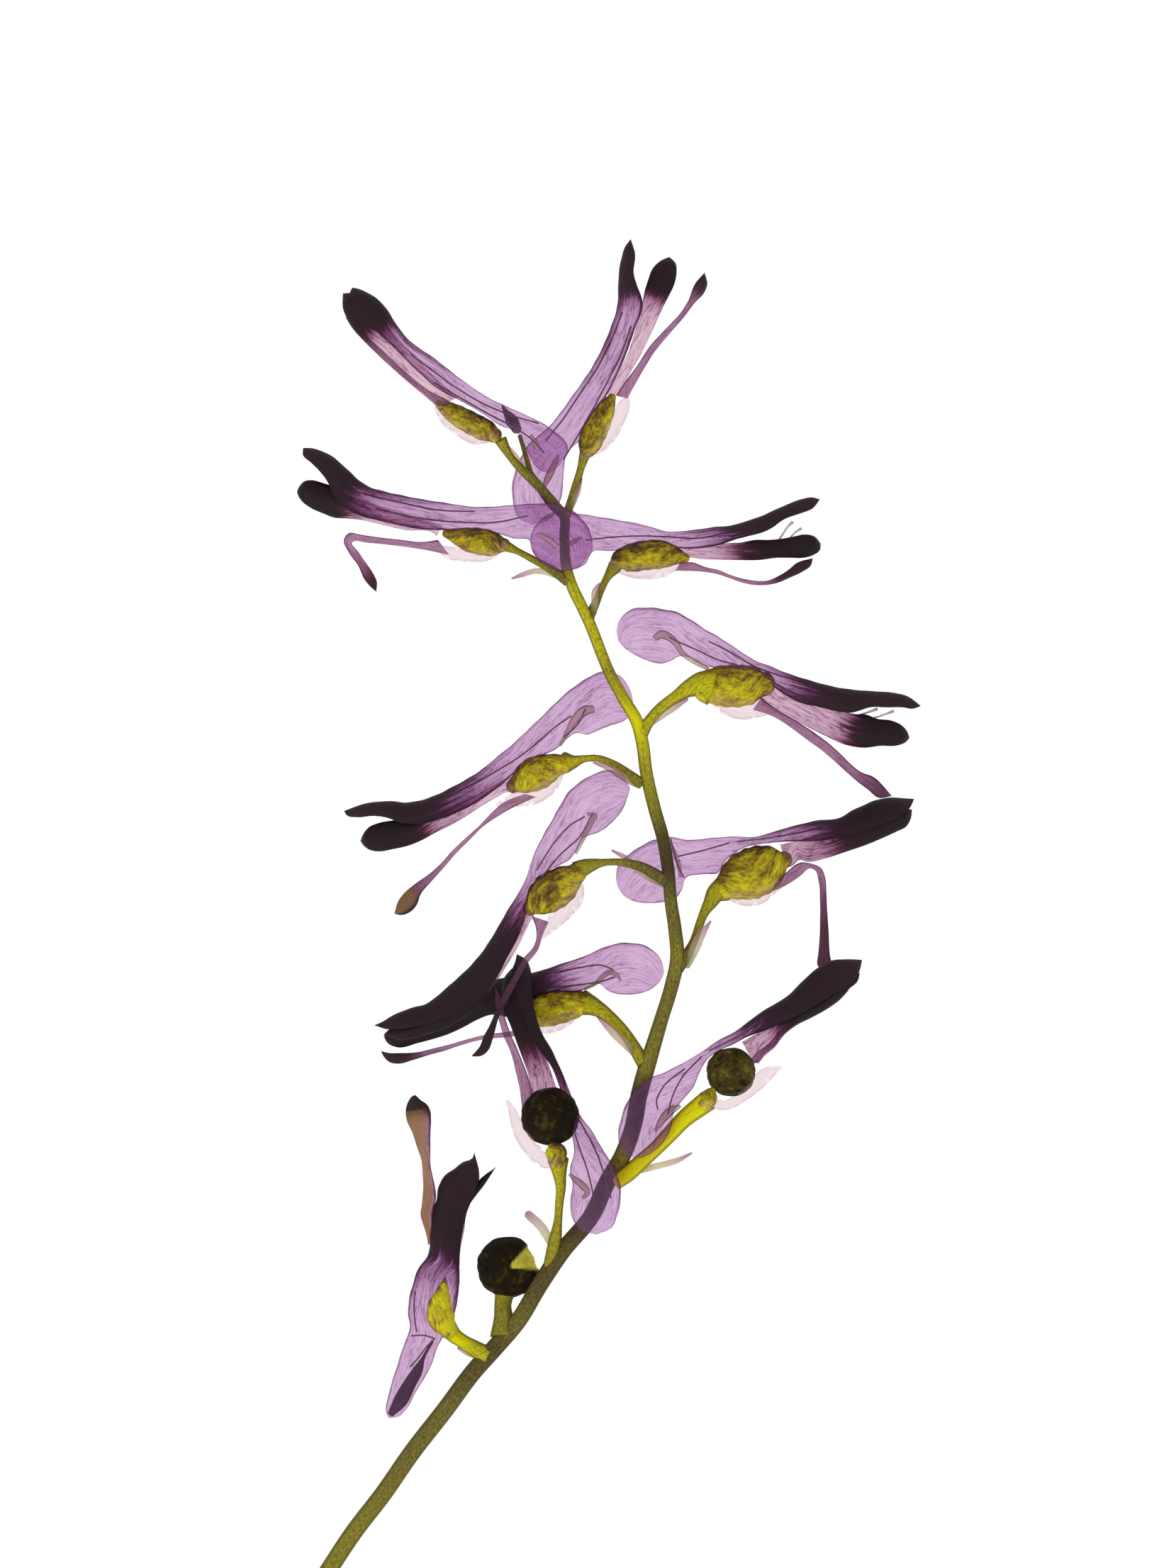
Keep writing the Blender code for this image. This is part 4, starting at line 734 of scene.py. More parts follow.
class Nodes:
    """A material or world's node tree, with short calls for the nodes used here."""

    def __init__(self, owner):
        owner.use_nodes = True
        self.tree = owner.node_tree
        self.tree.nodes.clear()

    def add(self, kind, inputs=None, **settings):
        node = self.tree.nodes.new(kind)
        for key, value in settings.items():
            setattr(node, key, value)
        for key, value in (inputs or {}).items():
            socket = node.inputs[key]
            if isinstance(value, bpy.types.NodeSocket):
                self.tree.links.new(value, socket)
            elif isinstance(value, tuple) and len(value) == 3 and socket.type == "RGBA":
                socket.default_value = (*value, 1.0)
            else:
                socket.default_value = value
        return node

    def value(self, name):
        return self.add("ShaderNodeAttribute", attribute_name=name).outputs["Fac"]

    def math(self, operation, a, b=0.0, c=0.0, clamp=False):
        node = self.add("ShaderNodeMath", {0: a, 1: b, 2: c}, operation=operation)
        node.use_clamp = clamp
        return node.outputs[0]

    def between(self, value, low, high, out_low=0.0, out_high=1.0):
        return self.add("ShaderNodeMapRange", {"Value": value, "From Min": low, "From Max": high,
                                               "To Min": out_low, "To Max": out_high},
                        interpolation_type="SMOOTHSTEP").outputs["Result"]

    def colours(self, value, stops):
        node = self.add("ShaderNodeValToRGB", {"Fac": value})
        ramp_points = node.color_ramp.elements
        while len(ramp_points) < len(stops):
            ramp_points.new(0.5)
        for point, (at, colour) in zip(ramp_points, stops):
            point.position = at
            point.color = (*colour, 1.0)
        return node.outputs["Color"]

    def blend(self, factor, a, b, kind="MIX"):
        node = self.add("ShaderNodeMix", {0: factor}, data_type="RGBA", blend_type=kind)
        for key, value in ((6, a), (7, b)):
            if isinstance(value, bpy.types.NodeSocket):
                self.tree.links.new(value, node.inputs[key])
            else:
                node.inputs[key].default_value = (*value, 1.0)
        return node.outputs[2]

    def over_skin(self, across, along, third=None):
        """A place on the skin, in millimetres across and along it, scaled."""
        inputs = {"X": self.math("MULTIPLY", self.value("girth"), across),
                  "Y": self.math("MULTIPLY", self.value("run"), along)}
        if third:
            inputs["Z"] = self.value(third)
        return self.add("ShaderNodeCombineXYZ", inputs).outputs[0]

    def noise(self, vector, scale=1.0, detail=3.0, roughness=0.6):
        return self.add("ShaderNodeTexNoise", {"Vector": vector, "Scale": scale, "Detail": detail,
                                               "Roughness": roughness}).outputs["Fac"]

    def position(self, scale):
        node = self.add("ShaderNodeTexCoord")
        return self.add("ShaderNodeVectorMath", {0: node.outputs["Object"], 1: (scale, scale, scale)},
                        operation="MULTIPLY").outputs[0]

    def bump(self, height, distance, strength=1.0):
        return self.add("ShaderNodeBump", {"Height": height, "Distance": distance,
                                           "Strength": strength}).outputs["Normal"]

    def out(self, surface, kind="ShaderNodeOutputMaterial"):
        self.add(kind, {"Surface": surface})


def thin_surface(nodes, tint, colour, cover, normal, rough):
    """A leaf thin enough to see through: tinted clear light, scattered light and a faint gloss, by cover."""
    clear = nodes.add("ShaderNodeBsdfTransparent", {"Color": tint}).outputs[0]
    through = nodes.add("ShaderNodeBsdfTranslucent", {"Color": colour, "Normal": normal}).outputs[0]
    face = nodes.add("ShaderNodeBsdfPrincipled", {"Base Color": colour, "Roughness": rough, "Normal": normal,
                                                  "Specular IOR Level": 0.3}).outputs[0]
    flesh = nodes.add("ShaderNodeMixShader", {0: 0.5, 1: through, 2: face}).outputs[0]
    return nodes.add("ShaderNodeMixShader", {0: cover, 1: clear, 2: flesh}).outputs[0]


def petal_material(name, stops, edge_on_shade, keel_dark, vein_dark, streak):
    """stops: rows of (darkness, see-through tint, scattered colour, cover)."""
    mat = bpy.data.materials.new(name)
    nodes = Nodes(mat)
    wander = nodes.noise(nodes.over_skin(6.0, 0.45, "seed"), 1.3, 3.0, 0.55)
    veins = nodes.between(nodes.math("ABSOLUTE", nodes.math("SUBTRACT", wander, 0.5)), 0.035, 0.0)
    hairs = nodes.noise(nodes.over_skin(24.0, 1.1, "seed"), 1.5, 4.0, 0.62)
    feather = nodes.noise(nodes.over_skin(11.0, 0.5, "seed"), 1.2, 3.0, 0.6)
    cells = nodes.noise(nodes.over_skin(1.0, 1.0, "seed"), 9.0, 5.0, 0.7)
    fold = nodes.noise(nodes.over_skin(1.6, 0.5, "seed"), 1.1, 2.0, 0.5)
    keel = nodes.value("keel")
    along = nodes.value("dark")
    tip = nodes.math("MULTIPLY", nodes.between(along, 0.2, 0.5), streak)
    dark = nodes.math("MULTIPLY_ADD", nodes.math("SUBTRACT", feather, 0.5), tip, along)
    dark = nodes.math("MULTIPLY_ADD", veins, vein_dark, dark)
    dark = nodes.math("MULTIPLY_ADD", nodes.between(hairs, 0.5, 0.72), 0.10, dark)
    dark = nodes.math("MULTIPLY_ADD", nodes.math("SUBTRACT", cells, 0.5), 0.20, dark)
    dark = nodes.math("MULTIPLY_ADD", nodes.math("SUBTRACT", fold, 0.5), 0.30, dark)
    # Painted shade: a dark line along the keel's fold and the margins, where the sheet turns edge-on in the plane.
    edge = nodes.math("ADD", nodes.between(keel, 0.86, 0.99), nodes.between(keel, 0.20, 0.03))
    dark = nodes.math("MULTIPLY_ADD", edge, edge_on_shade, dark)
    reach = nodes.math("MULTIPLY", nodes.between(keel, 0.52, 0.2), nodes.between(nodes.value("share"), 0.35, 0.75))
    dark = nodes.math("MULTIPLY_ADD", reach, keel_dark, dark)
    tint = nodes.colours(dark, [(row[0], row[1]) for row in stops])
    colour = nodes.colours(dark, [(row[0], row[2]) for row in stops])
    cover = nodes.colours(dark, [(row[0], (row[3],) * 3) for row in stops])
    ochre = nodes.math("MULTIPLY", nodes.value("tan"), nodes.between(along, 0.82, 0.60))
    ochre = nodes.math("MULTIPLY", ochre, nodes.between(keel, 0.95, 0.7))
    tint = nodes.blend(ochre, tint, (0.62, 0.46, 0.24))
    colour = nodes.blend(ochre, colour, (0.34, 0.22, 0.09))
    rough = nodes.between(cells, 0.3, 0.7, 0.42, 0.66)
    normal = nodes.bump(nodes.math("ADD", hairs, nodes.math("MULTIPLY", cells, 0.5)), 0.03 * MM, 0.6)
    nodes.out(thin_surface(nodes, tint, colour, cover, normal, rough))
    return mat


HOOD_STOPS = [
    (0.00, (0.91, 0.77, 0.925), (0.52, 0.35, 0.54), 0.15),
    (0.20, (0.84, 0.67, 0.83), (0.42, 0.25, 0.41), 0.19),
    (0.40, (0.63, 0.42, 0.61), (0.24, 0.11, 0.22), 0.30),
    (0.60, (0.34, 0.17, 0.31), (0.120, 0.042, 0.092), 0.56),
    (0.78, (0.14, 0.06, 0.11), (0.070, 0.028, 0.046), 0.86),
    (1.00, (0.05, 0.02, 0.03), (0.044, 0.024, 0.031), 0.98),
]
INNER_STOPS = [
    (0.00, (0.95, 0.84, 0.87), (0.74, 0.54, 0.56), 0.16),
    (0.20, (0.87, 0.70, 0.81), (0.52, 0.33, 0.42), 0.22),
    (0.40, (0.66, 0.42, 0.57), (0.28, 0.12, 0.19), 0.34),
    (0.60, (0.36, 0.16, 0.27), (0.125, 0.040, 0.072), 0.60),
    (0.78, (0.14, 0.06, 0.09), (0.060, 0.024, 0.036), 0.88),
    (1.00, (0.05, 0.02, 0.03), (0.036, 0.020, 0.025), 0.98),
]
LOWER_STOPS = [
    (0.00, (0.86, 0.72, 0.82), (0.50, 0.33, 0.44), 0.24),
    (0.20, (0.74, 0.54, 0.68), (0.36, 0.18, 0.30), 0.30),
    (0.40, (0.50, 0.30, 0.44), (0.20, 0.085, 0.150), 0.44),
    (0.60, (0.30, 0.15, 0.23), (0.115, 0.046, 0.070), 0.66),
    (0.80, (0.14, 0.07, 0.09), (0.068, 0.032, 0.038), 0.88),
    (1.00, (0.05, 0.03, 0.03), (0.038, 0.021, 0.022), 0.98),
]


def sepal_material():
    mat = bpy.data.materials.new("sepal_sheet")
    nodes = Nodes(mat)
    streaks = nodes.noise(nodes.over_skin(9.0, 0.8), 1.5, 4.0, 0.6)
    edge = nodes.between(nodes.value("keel"), 0.55, 1.0)
    spot = nodes.math("MULTIPLY_ADD", edge, 0.25, nodes.math("MULTIPLY", streaks, 0.5))
    tint = nodes.colours(spot, [(0.1, (0.985, 0.935, 0.945)), (0.6, (0.92, 0.81, 0.84))])
    colour = nodes.colours(spot, [(0.1, (0.92, 0.82, 0.82)), (0.6, (0.72, 0.52, 0.56))])
    cover = nodes.between(spot, 0.1, 0.7, 0.10, 0.24)
    normal = nodes.bump(streaks, 0.02 * MM, 0.6)
    rough = nodes.between(streaks, 0.3, 0.7, 0.4, 0.6)
    nodes.out(thin_surface(nodes, tint, colour, cover, normal, rough))
    return mat


def bract_material():
    mat = bpy.data.materials.new("bract_sheet")
    nodes = Nodes(mat)
    streaks = nodes.noise(nodes.over_skin(9.0, 0.8), 1.5, 4.0, 0.6)
    reach = nodes.math("MULTIPLY_ADD", nodes.math("SUBTRACT", streaks, 0.5), 0.5, nodes.value("share"))
    stops = [(0.0, (0.30, 0.30, 0.06)), (0.35, (0.62, 0.52, 0.30)), (0.7, (0.52, 0.34, 0.30)), (1.0, (0.20, 0.07, 0.14))]
    colour = nodes.colours(reach, stops)
    tint = nodes.colours(reach, [(0.0, (0.75, 0.78, 0.35)), (0.4, (0.95, 0.88, 0.70)), (1.0, (0.55, 0.3, 0.45))])
    cover = nodes.between(nodes.value("share"), 0.0, 1.0, 0.8, 0.5)
    normal = nodes.bump(streaks, 0.02 * MM, 0.6)
    rough = nodes.between(streaks, 0.3, 0.7, 0.45, 0.65)
    nodes.out(thin_surface(nodes, tint, colour, cover, normal, rough))
    return mat


def flesh_surface(nodes, colour, normal, rough, glow=0.35, gloss=0.2):
    """Solid plant flesh: a diffuse face with some light let through."""
    face = nodes.add("ShaderNodeBsdfPrincipled", {"Base Color": colour, "Roughness": rough, "Normal": normal,
                                                  "Specular IOR Level": gloss}).outputs[0]
    through = nodes.add("ShaderNodeBsdfTranslucent", {"Color": colour, "Normal": normal}).outputs[0]
    return nodes.add("ShaderNodeMixShader", {0: glow, 1: face, 2: through}).outputs[0]


def stem_material():
    mat = bpy.data.materials.new("stem_flesh")
    nodes = Nodes(mat)
    specks = nodes.noise(nodes.over_skin(5.0, 2.6), 3.0, 6.0, 0.72)
    streaks = nodes.noise(nodes.over_skin(9.0, 0.5), 1.6, 3.0, 0.6)
    olive = nodes.colours(specks, [(0.34, (0.07, 0.055, 0.012)), (0.50, (0.19, 0.155, 0.040)), (0.66, (0.34, 0.29, 0.08))])
    # Painted glow: the green is the stem's own green made brighter as if lit through, and past 0.95 it turns a bright
    # yellow that is all painted glow.
    green = nodes.colours(specks, [(0.34, (0.34, 0.33, 0.004)), (0.50, (0.70, 0.64, 0.014)), (0.66, (0.98, 0.92, 0.04))])
    colour = nodes.blend(nodes.value("green_and_glow"), olive, green)
    colour = nodes.blend(nodes.between(nodes.value("green_and_glow"), 0.95, 1.3), colour, (1.0, 0.94, 0.003))
    # Painted shade: the stem's two flanks in the plane are darkened, where it turns edge-on.
    painted_side_shade = nodes.between(nodes.math("ABSOLUTE", nodes.value("upper")), 0.55, 0.96)
    colour = nodes.blend(nodes.math("MULTIPLY", painted_side_shade, 0.72), colour, (0.12, 0.095, 0.012))
    colour = nodes.blend(nodes.between(streaks, 0.52, 0.72, 0.0, 0.55), colour, (0.14, 0.09, 0.03))
    # Painted shade: the dark attribute turns the stem purple-brown where spurs lie across it, partly its own flush;
    # stalks carry none of it.
    colour = nodes.blend(nodes.value("dark"), colour, (0.05, 0.022, 0.018))
    rough = nodes.between(specks, 0.3, 0.7, 0.5, 0.75)
    normal = nodes.bump(nodes.math("ADD", specks, streaks), 0.05 * MM, 0.8)
    nodes.out(flesh_surface(nodes, colour, normal, rough, 0.1, 0.1))
    return mat


def ovary_material():
    mat = bpy.data.materials.new("ovary_flesh")
    nodes = Nodes(mat)
    cells = nodes.noise(nodes.over_skin(2.0, 1.2, "seed"), 4.5, 6.0, 0.72)
    spots = nodes.noise(nodes.over_skin(2.0, 1.0, "seed"), 1.6, 3.0, 0.6)
    mix = nodes.math("ADD", nodes.math("MULTIPLY", cells, 0.55), nodes.math("MULTIPLY", spots, 0.45))
    mix = nodes.math("MULTIPLY_ADD", nodes.math("SUBTRACT", mix, 0.5), 2.1, 0.52)
    mix = nodes.math("MULTIPLY_ADD", nodes.value("upper"), -0.13, mix)
    mix = nodes.math("MULTIPLY_ADD", nodes.value("dark"), -0.45, mix)
    # Painted shade: the ovary's two flanks in the plane are darkened, where it turns edge-on.
    painted_rim_shade = nodes.between(nodes.math("ABSOLUTE", nodes.value("upper")), 0.75, 1.0)
    mix = nodes.math("MULTIPLY_ADD", painted_rim_shade, -0.16, mix)
    colour = nodes.colours(mix, [(0.12, (0.055, 0.025, 0.012)), (0.34, (0.24, 0.15, 0.014)),
                                 (0.52, (0.56, 0.44, 0.012)), (0.76, (0.92, 0.84, 0.016))])
    rough = nodes.between(cells, 0.3, 0.7, 0.5, 0.75)
    normal = nodes.bump(cells, 0.06 * MM, 0.8)
    nodes.out(flesh_surface(nodes, colour, normal, rough, 0.1))
    return mat


def fruit_material():
    mat = bpy.data.materials.new("fruit_skin")
    nodes = Nodes(mat)
    place_on = nodes.position(1 / MM)
    warts = nodes.noise(place_on, 4.5, 6.0, 0.7)
    blotch = nodes.noise(place_on, 1.4, 3.0, 0.6)
    mix = nodes.math("ADD", nodes.math("MULTIPLY", warts, 0.6), nodes.math("MULTIPLY", blotch, 0.4))
    mix = nodes.math("MULTIPLY_ADD", nodes.value("green_and_glow"), 0.22, mix)
    colour = nodes.colours(mix, [(0.38, (0.008, 0.006, 0.003)), (0.54, (0.022, 0.015, 0.005)),
                                 (0.68, (0.11, 0.085, 0.016)), (0.82, (0.30, 0.25, 0.03))])
    # Painted light: the opening is painted bright yellow, as if lit through the fruit.
    inside = nodes.colours(warts, [(0.3, (0.60, 0.52, 0.03)), (0.6, (0.98, 0.90, 0.12))])
    colour = nodes.blend(nodes.value("cut"), colour, inside)
    rough = nodes.between(warts, 0.3, 0.7, 0.65, 0.9)
    normal = nodes.bump(warts, 0.10 * MM, 0.8)
    nodes.out(flesh_surface(nodes, colour, normal, rough, 0.1, 0.08))
    return mat


def cream_material():
    mat = bpy.data.materials.new("nectary_flesh")
    nodes = Nodes(mat)
    cells = nodes.noise(nodes.over_skin(2.0, 1.0), 4.0, 3.0, 0.6)
    # Painted shade: the flanks of nectaries, veins and stamens in the plane are darker and less clear, where they turn
    # edge-on.
    edge = nodes.between(nodes.math("ABSOLUTE", nodes.value("upper")), 0.55, 0.95)
    tint = nodes.blend(edge, (0.98, 0.93, 0.86), (0.50, 0.34, 0.34))
    colour = nodes.blend(edge, nodes.colours(cells, [(0.3, (0.92, 0.80, 0.66)), (0.7, (0.99, 0.95, 0.84))]),
                         (0.30, 0.16, 0.14))
    tint = nodes.blend(nodes.value("dark"), tint, (0.30, 0.16, 0.28))
    colour = nodes.blend(nodes.value("dark"), colour, (0.10, 0.05, 0.08))
    rough = nodes.between(cells, 0.3, 0.7, 0.45, 0.65)
    nodes.out(thin_surface(nodes, tint, colour, nodes.between(edge, 0.0, 1.0, 0.85, 0.5),
                           nodes.bump(cells, 0.03 * MM, 0.5), rough))
    return mat


def bud_material():
    mat = bpy.data.materials.new("bud_skin")
    nodes = Nodes(mat)
    cells = nodes.noise(nodes.over_skin(3.0, 1.0, "seed"), 4.0, 4.0, 0.6)
    mix = nodes.math("ADD", nodes.math("MULTIPLY", cells, 0.4), nodes.math("MULTIPLY", nodes.value("dark"), 0.6))
    colour = nodes.colours(mix, [(0.2, (0.40, 0.34, 0.12)), (0.45, (0.12, 0.06, 0.07)), (0.8, (0.02, 0.009, 0.02))])
    rough = nodes.between(cells, 0.3, 0.7, 0.4, 0.65)
    nodes.out(flesh_surface(nodes, colour, nodes.bump(cells, 0.04 * MM, 0.7), rough, 0.3))
    return mat


def petal_dark(sweep, reach, ground, full_dark=DARKEST):
    """Darkness along a petal: ground at its base, full_dark at its tip, from the pixels where it starts and is full."""
    start, full = reach
    rise = 0.30 * ramp(sweep.to_tip, start, full) + 0.70 * ramp(sweep.to_tip, full + 0.45 * (start - full), full * 0.85)
    return ground + (full_dark - ground) * rise


def make_flower(number, flower, mats, rng):
    name = "flower_" + number
    height = height_rule(flower)
    seed = int(number) * 3.7
    age = (int(number) - 1) / 11
    hood_dark, inner_dark, lower_dark = flower["dark"]

    hood = Ribbon(flower["hood"], height, HOOD_DEPTH, HOOD_RATIO)
    hood_ground = 0.06 + (0.12 + 0.10 * age) * ramp(hood.share, 0.25, 0.75)
    opening = ramp(hood.share, 0.22, 0.62) * 0.62 + ramp(hood.share, 0.6, 0.95) * 0.2
    add_piece(name + "_hood", folded_petal(name + "_hood", hood, opening, petal_dark(hood, hood_dark, hood_ground), age, 0.012,
                                           seed),
              mats["hood"], "upper_petal", name + "_upper_petal")

    inner = Ribbon(flower["inner"], height, INNER_DEPTH, INNER_RATIO)
    add_piece(name + "_inner", pod(name + "_inner", inner, petal_dark(inner, inner_dark, 0.08 + 0.08 * age), age, pinch=0.12,
                                   crest=0.10, seed=seed),
              mats["inner"], "inner_petals", name + "_inner_petals")

    lower = Ribbon(flower["lower"], height, LOWER_DEPTH, LOWER_RATIO)
    add_piece(name + "_lower", folded_petal(name + "_lower", lower, np.full(len(lower.run), 0.85),
                                            petal_dark(lower, lower_dark, 0.18, flower["tip"] * DARKEST), age, 0.01, seed + 1, flower.get("tan", (0.0, 0.0))),
              mats["lower"], "lower_petal", name + "_lower_petal")

    lift = flower.get("lift", 0.0)
    ovary = Sweep(flower["ovary"], lambda x, y: height(x, y) + lift, OVARY_DEPTH, OVARY_RATIO)
    brown = 0.45 * (1.1 - flower["green_and_glow"][0]) + np.zeros(len(ovary.run))
    add_piece(name + "_ovary", pod(name + "_ovary", ovary, brown, age, lumps=0.025, crest=0.05, seed=seed),
              mats["ovary"], "calyx", name + "_calyx")
    route = [(*flower["ovary"][0][:2], SEPAL_BASE_WIDTH)] + flower["sepal"]
    sheet = Sweep(route, height, OVARY_DEPTH, OVARY_RATIO)
    blades = [blade(name, sheet, SEPAL_OFFSET, 0.12 * MM, 0.75, rng),
              blade(name, sheet, -SEPAL_OFFSET, -0.12 * MM, 0.75, rng)]
    add_piece(name + "_sepals", join(name + "_sepals", blades), mats["sepal"], "calyx", name + "_calyx")
    if "fruit" in flower:
        (x, y), radius = flower["fruit"]
        add_piece(name + "_nutlet", nutlet(name + "_nutlet", place(x, y, height(x, y)), radius * PIXEL, 0.85, seed,
                                            flower["fruit_fresh"]),
                  mats["fruit"], "fruit", name + "_fruit")
    return stalk_of(flower, height)


def nutlet(name, centre, radius, flatten, seed, green_and_glow=0.0, notch=None):
    """A round wrinkled fruit; notch gives the way its lit opening faces and its half angle, in degrees. The opening is
    marked for painted light, a bright yellow as if lit through.
    """
    bm = bmesh.new()
    bmesh.ops.create_icosphere(bm, subdivisions=5, radius=1.0)
    painted_light_marks = []
    for vert in bm.verts:
        x, y, z = vert.co
        swell = 1 + 0.02 * math.sin(7 * x + seed) * math.cos(6 * y - seed) + 0.012 * math.sin(19 * y + 11 * z + seed)
        open_face = 0.0
        if notch:
            turn = (math.degrees(math.atan2(y, x)) - notch[0] + 180) % 360 - 180
            open_face = float(ramp(abs(turn), notch[1] + 5, notch[1] - 5) * ramp(math.hypot(x, y), 0.08, 0.2))
            swell *= 1 - NOTCH_DEPTH * open_face * float(ramp(math.hypot(x, y), 0.35, 0.8))
            aside = (math.degrees(math.atan2(y, x)) - LOBE[0] + 180) % 360 - 180
            swell *= 1 + LOBE[2] * math.exp(-(aside / LOBE[1]) ** 2) * float(ramp(math.hypot(x, y), 0.5, 1.0))
        painted_light_marks.append(open_face)
        vert.co *= radius * swell
        vert.co.z *= flatten
        vert.co += Vector(centre)
        vert.co.z = max(vert.co.z, 0.0)
    mesh = bpy.data.meshes.new(name)
    bm.to_mesh(mesh)
    bm.free()
    mesh.attributes.new("cut", "FLOAT", "POINT").data.foreach_set("value", painted_light_marks)
    mesh.attributes.new("green_and_glow", "FLOAT", "POINT").data.foreach_set("value", [green_and_glow] * len(painted_light_marks))
    mesh.shade_smooth()
    return mesh


def stem_height(x, y):
    """The stem's height in millimetres beside a point of the photo."""
    nearest = min(RACHIS, key=lambda p: (p[0] - x) ** 2 + (p[1] - y) ** 2)
    return nearest[3]


def stalk_of(flower, height):
    """The stalk from inside the ovary's end to the stem, its heights running evenly between."""
    route = flower["stalk"]
    top = height(*flower["ovary"][0][:2])
    foot = stem_height(*route[-1][:2])
    points = [(x, y, r, top + (foot - top) * i / (len(route) - 1)) for i, (x, y, r) in enumerate(route)]
    return points, flower["green_and_glow"]


def stem_tone_and_shade(share, x, y):
    """Darkness, mostly painted shade where spurs lie across the stem, and freshness, partly painted glow, of the stem
    beside a point of the photo.
    """
    rows = np.array(STEM_TONES_AND_SHADE)
    return float(np.interp(y, rows[:, 0], rows[:, 2])), float(np.interp(y, rows[:, 0], rows[:, 1]))


def stalk_tone(green_and_glow, dark=0.0):
    """The tones of a stalk that is as green, and as bright with painted glow, as given at its receptacle and at the
    stem.
    """
    return lambda share, x, y: (dark, green_and_glow[0] + (green_and_glow[1] - green_and_glow[0]) * min(1.0, share * 1.3))


def make_stem(stalks, mats, rng):
    meshes = [stalk("stem_skin", RACHIS, 0.045, stem_tone_and_shade)]
    stalks = [(BUD_STALK, (0.0, 0.2)), (FRUIT_13_STALK, (0.5, 0.3))] + stalks
    meshes += [stalk("stalk", points, 0.03, stalk_tone(green_and_glow)) for points, green_and_glow in stalks]
    add_piece("stem_skin", join("stem_skin", meshes), mats["stem"], "stem", "stem")
    blades = []
    for flower in FLOWERS.values():
        level = stem_height(*flower["bract"][0][:2])
        sheet = Sweep(flower["bract"], lambda x, y, h=level: h, INNER_DEPTH, INNER_RATIO)
        blades.append(blade("bract", sheet, 0.0, 0.08 * MM, 0.1, rng))
    add_piece("bracts", join("bracts", blades), mats["bract"], "stem")


def make_hidden_parts(mats):
    """The nectary inside each spur."""
    meshes = []
    for flower in FLOWERS.values():
        height = height_rule(flower)
        points = [(x, y, r, height(x, y)) for x, y, r in flower["nectary"]]
        meshes.append(stalk("nectary", points, 0.0, stalk_tone((0.0, 0.0), flower.get("strip", 0.0)), 10))
    add_piece("nectaries", join("nectaries", meshes), mats["cream"], "upper_petal")


def make_veins_and_fold_shade(mats):
    """The veins and folds that show dark in the upper petals, along their upper walls: the veins' own colour, and
    painted shade along the folds.
    """
    meshes = []
    for number, routes in VEINS_AND_FOLD_SHADE.items():
        height = height_rule(FLOWERS[number])
        for route in routes:
            points = [(x, y, VEIN_RADIUS, height(x, y) + VEIN_LIFT) for x, y in route]
            # Dark 0.75: the veins' own colour, and painted shade where a line follows a fold.
            meshes.append(stalk("vein", points, 0.0, stalk_tone((0.0, 0.0), 0.75), 6))
    add_piece("petal_veins_and_fold_shade", join("petal_veins_and_fold_shade", meshes), mats["cream"], "upper_petal")


def make_stamens(mats):
    """Thin pale stamens that show at the lips of two flowers."""
    meshes = []
    for number, routes in STAMENS.items():
        height = height_rule(FLOWERS[number])
        for route in routes:
            points = [(x, y, r, height(x, y)) for x, y, r in route]
            meshes.append(stalk("stamen", points, 0.0, stalk_tone((0.0, 0.0)), 10))
    add_piece("stamens", join("stamens", meshes), mats["cream"], "inner_petals")


def make_bud(mats):
    sweep = Sweep([point[:3] for point in BUD[::-1]] + [(*BUD_TIP, 1.5)], lambda x, y: BUD[1][3], INNER_DEPTH,
                  INNER_RATIO, 2)
    add_piece("bud_skin", pod("bud_skin", sweep, ramp(sweep.share, 0.0, 0.4), 0.0, lumps=0.04, ribs=5),
              mats["bud"], "bud", "bud")


def make_bare_fruit(mats):
    centre = place(*FRUIT_13_CENTRE, FRUIT_13_HEIGHT)
    add_piece("bare_nutlet", nutlet("bare_nutlet", centre, FRUIT_13_RADIUS * PIXEL, 0.9, 2.0, 0.0,
                                    FRUIT_13_NOTCH), mats["fruit"], "fruit",
              "fruit_13")


FLOOR_SIZE = 3.0            # metres
CAMERA_LENS = 1000.0        # a long lens, so that heights hardly shift the outline
CAMERA_SENSOR = 36.0
CAMERA_LEVEL = 1.8 * MM     # the height at which the photo's scale holds


def make_stage():
    bm = bmesh.new()
    bmesh.ops.create_grid(bm, x_segments=8, y_segments=8, size=FLOOR_SIZE / 2)
    mesh = bpy.data.meshes.new("floor")
    bm.to_mesh(mesh)
    bm.free()
    floor = bpy.data.objects.new("floor", mesh)
    bpy.context.scene.collection.objects.link(floor)
    floor.location.z = -0.02 * MM
    mat = bpy.data.materials.new("lit_floor")
    nodes = Nodes(mat)
    glow = nodes.add("ShaderNodeEmission", {"Color": (1.0, 1.0, 1.0), "Strength": 1.0}).outputs[0]
    nodes.out(glow)
    mesh.materials.append(mat)


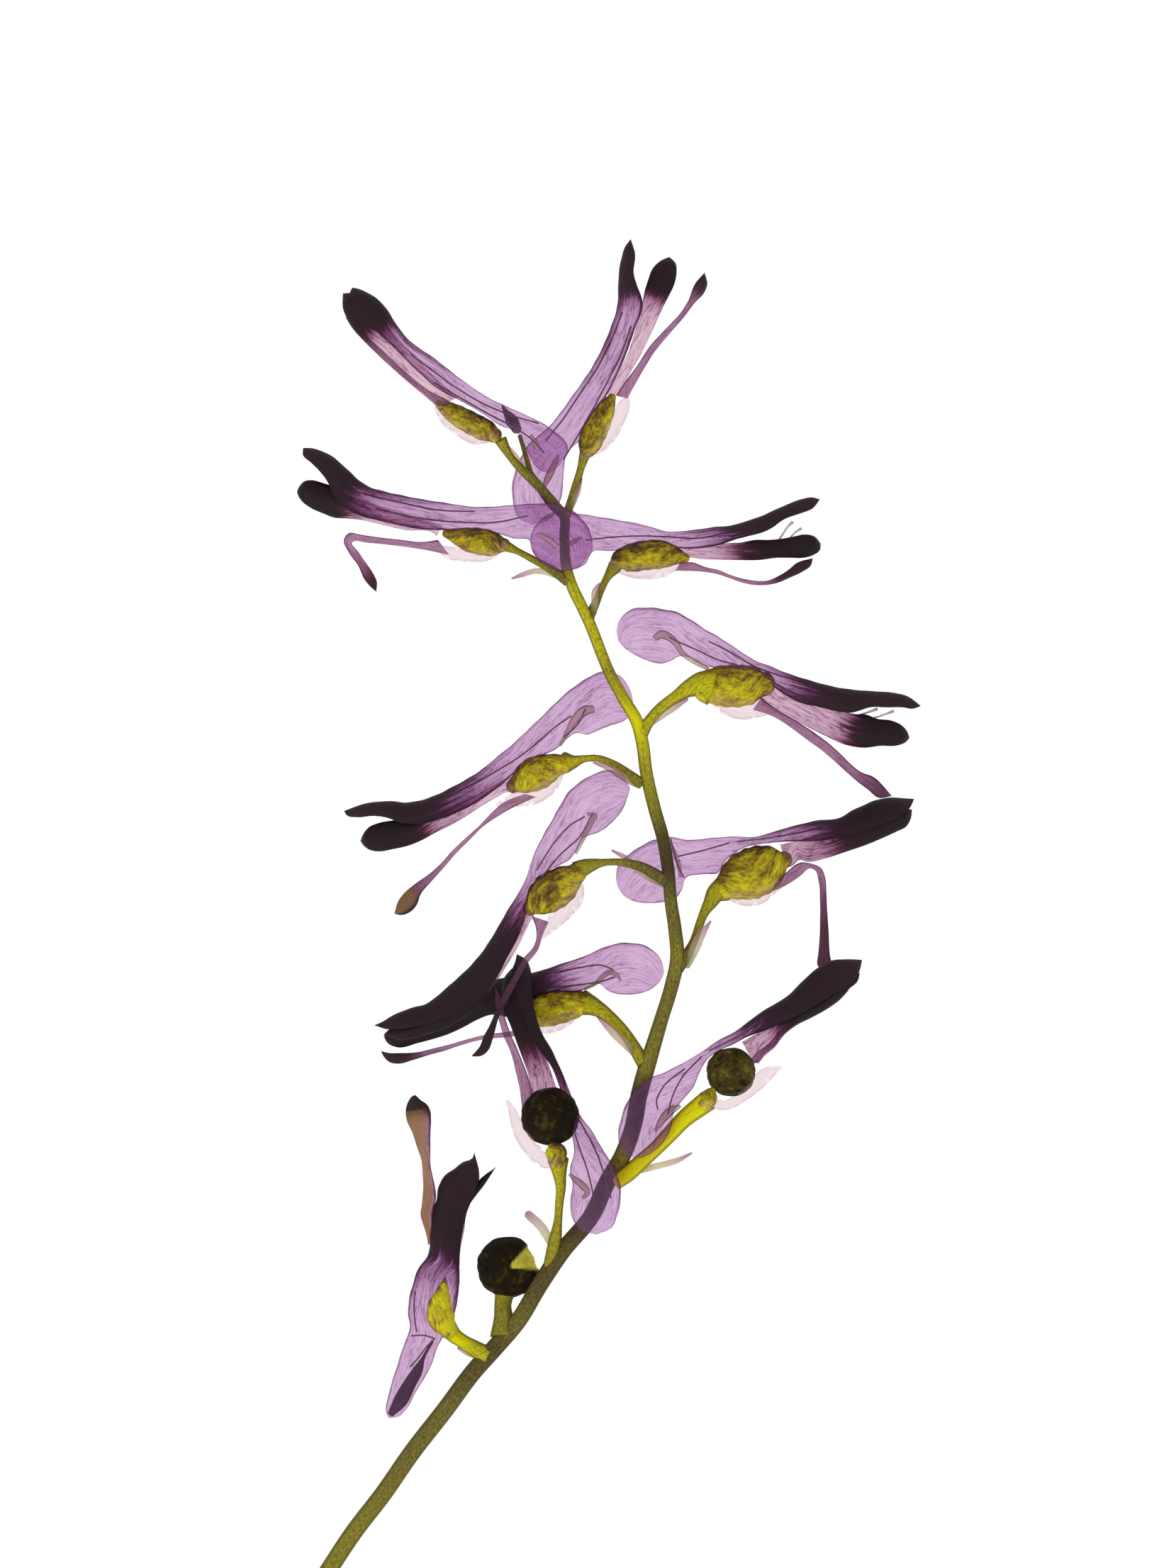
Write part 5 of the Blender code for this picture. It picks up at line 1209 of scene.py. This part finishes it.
def make_world():
    world = bpy.data.worlds.new("soft_studio")
    bpy.context.scene.world = world
    nodes = Nodes(world)
    direction = nodes.add("ShaderNodeTexCoord").outputs["Generated"]
    up = nodes.add("ShaderNodeSeparateXYZ", {0: direction}).outputs["Z"]
    sky = nodes.colours(nodes.between(up, 0.05, 0.6), [(0.0, (1.0, 1.0, 1.0)), (1.0, (0.55, 0.55, 0.57))])
    light = nodes.add("ShaderNodeBackground", {"Color": sky, "Strength": 1.0}).outputs[0]
    nodes.out(light, "ShaderNodeOutputWorld")
    lamp = bpy.data.lights.new("soft_lamp", "SUN")
    lamp.energy = 0.8
    lamp.angle = math.radians(40)
    sun = bpy.data.objects.new("soft_lamp", lamp)
    sun.rotation_euler = (math.radians(35), math.radians(-25), 0)
    bpy.context.scene.collection.objects.link(sun)


def make_camera():
    data = bpy.data.cameras.new("camera")
    data.sensor_width = CAMERA_SENSOR
    data.lens = CAMERA_LENS
    data.clip_start, data.clip_end = 0.01, 10.0
    camera = bpy.data.objects.new("camera", data)
    centre = place(PHOTO_SIZE[0] / 2, PHOTO_SIZE[1] / 2, 0.0)
    distance = PHOTO_SIZE[1] * PIXEL * CAMERA_LENS / CAMERA_SENSOR
    camera.location = (centre[0], centre[1], CAMERA_LEVEL + distance)
    bpy.context.scene.collection.objects.link(camera)
    bpy.context.scene.camera = camera


def main():
    rng = np.random.default_rng(7)
    mats = {
        "hood": petal_material("hood_sheet", HOOD_STOPS, 0.34, 0.24, 0.28, 1.1),
        "inner": petal_material("inner_sheet", INNER_STOPS, 0.26, 0.0, 0.30, 1.0),
        "lower": petal_material("lower_sheet", LOWER_STOPS, 0.28, 0.06, 0.16, 0.7),
        "sepal": sepal_material(),
        "bract": bract_material(),
        "stem": stem_material(),
        "ovary": ovary_material(),
        "fruit": fruit_material(),
        "cream": cream_material(),
        "bud": bud_material(),
    }
    stalks = [make_flower(number, flower, mats, rng) for number, flower in FLOWERS.items()]
    make_stem(stalks, mats, rng)
    make_hidden_parts(mats)
    make_veins_and_fold_shade(mats)
    make_stamens(mats)
    make_bud(mats)
    make_bare_fruit(mats)
    make_stage()
    make_world()
    make_camera()
    scene = bpy.context.scene
    scene.view_settings.view_transform = "Standard"
    scene.cycles.transparent_max_bounces = 64


main()
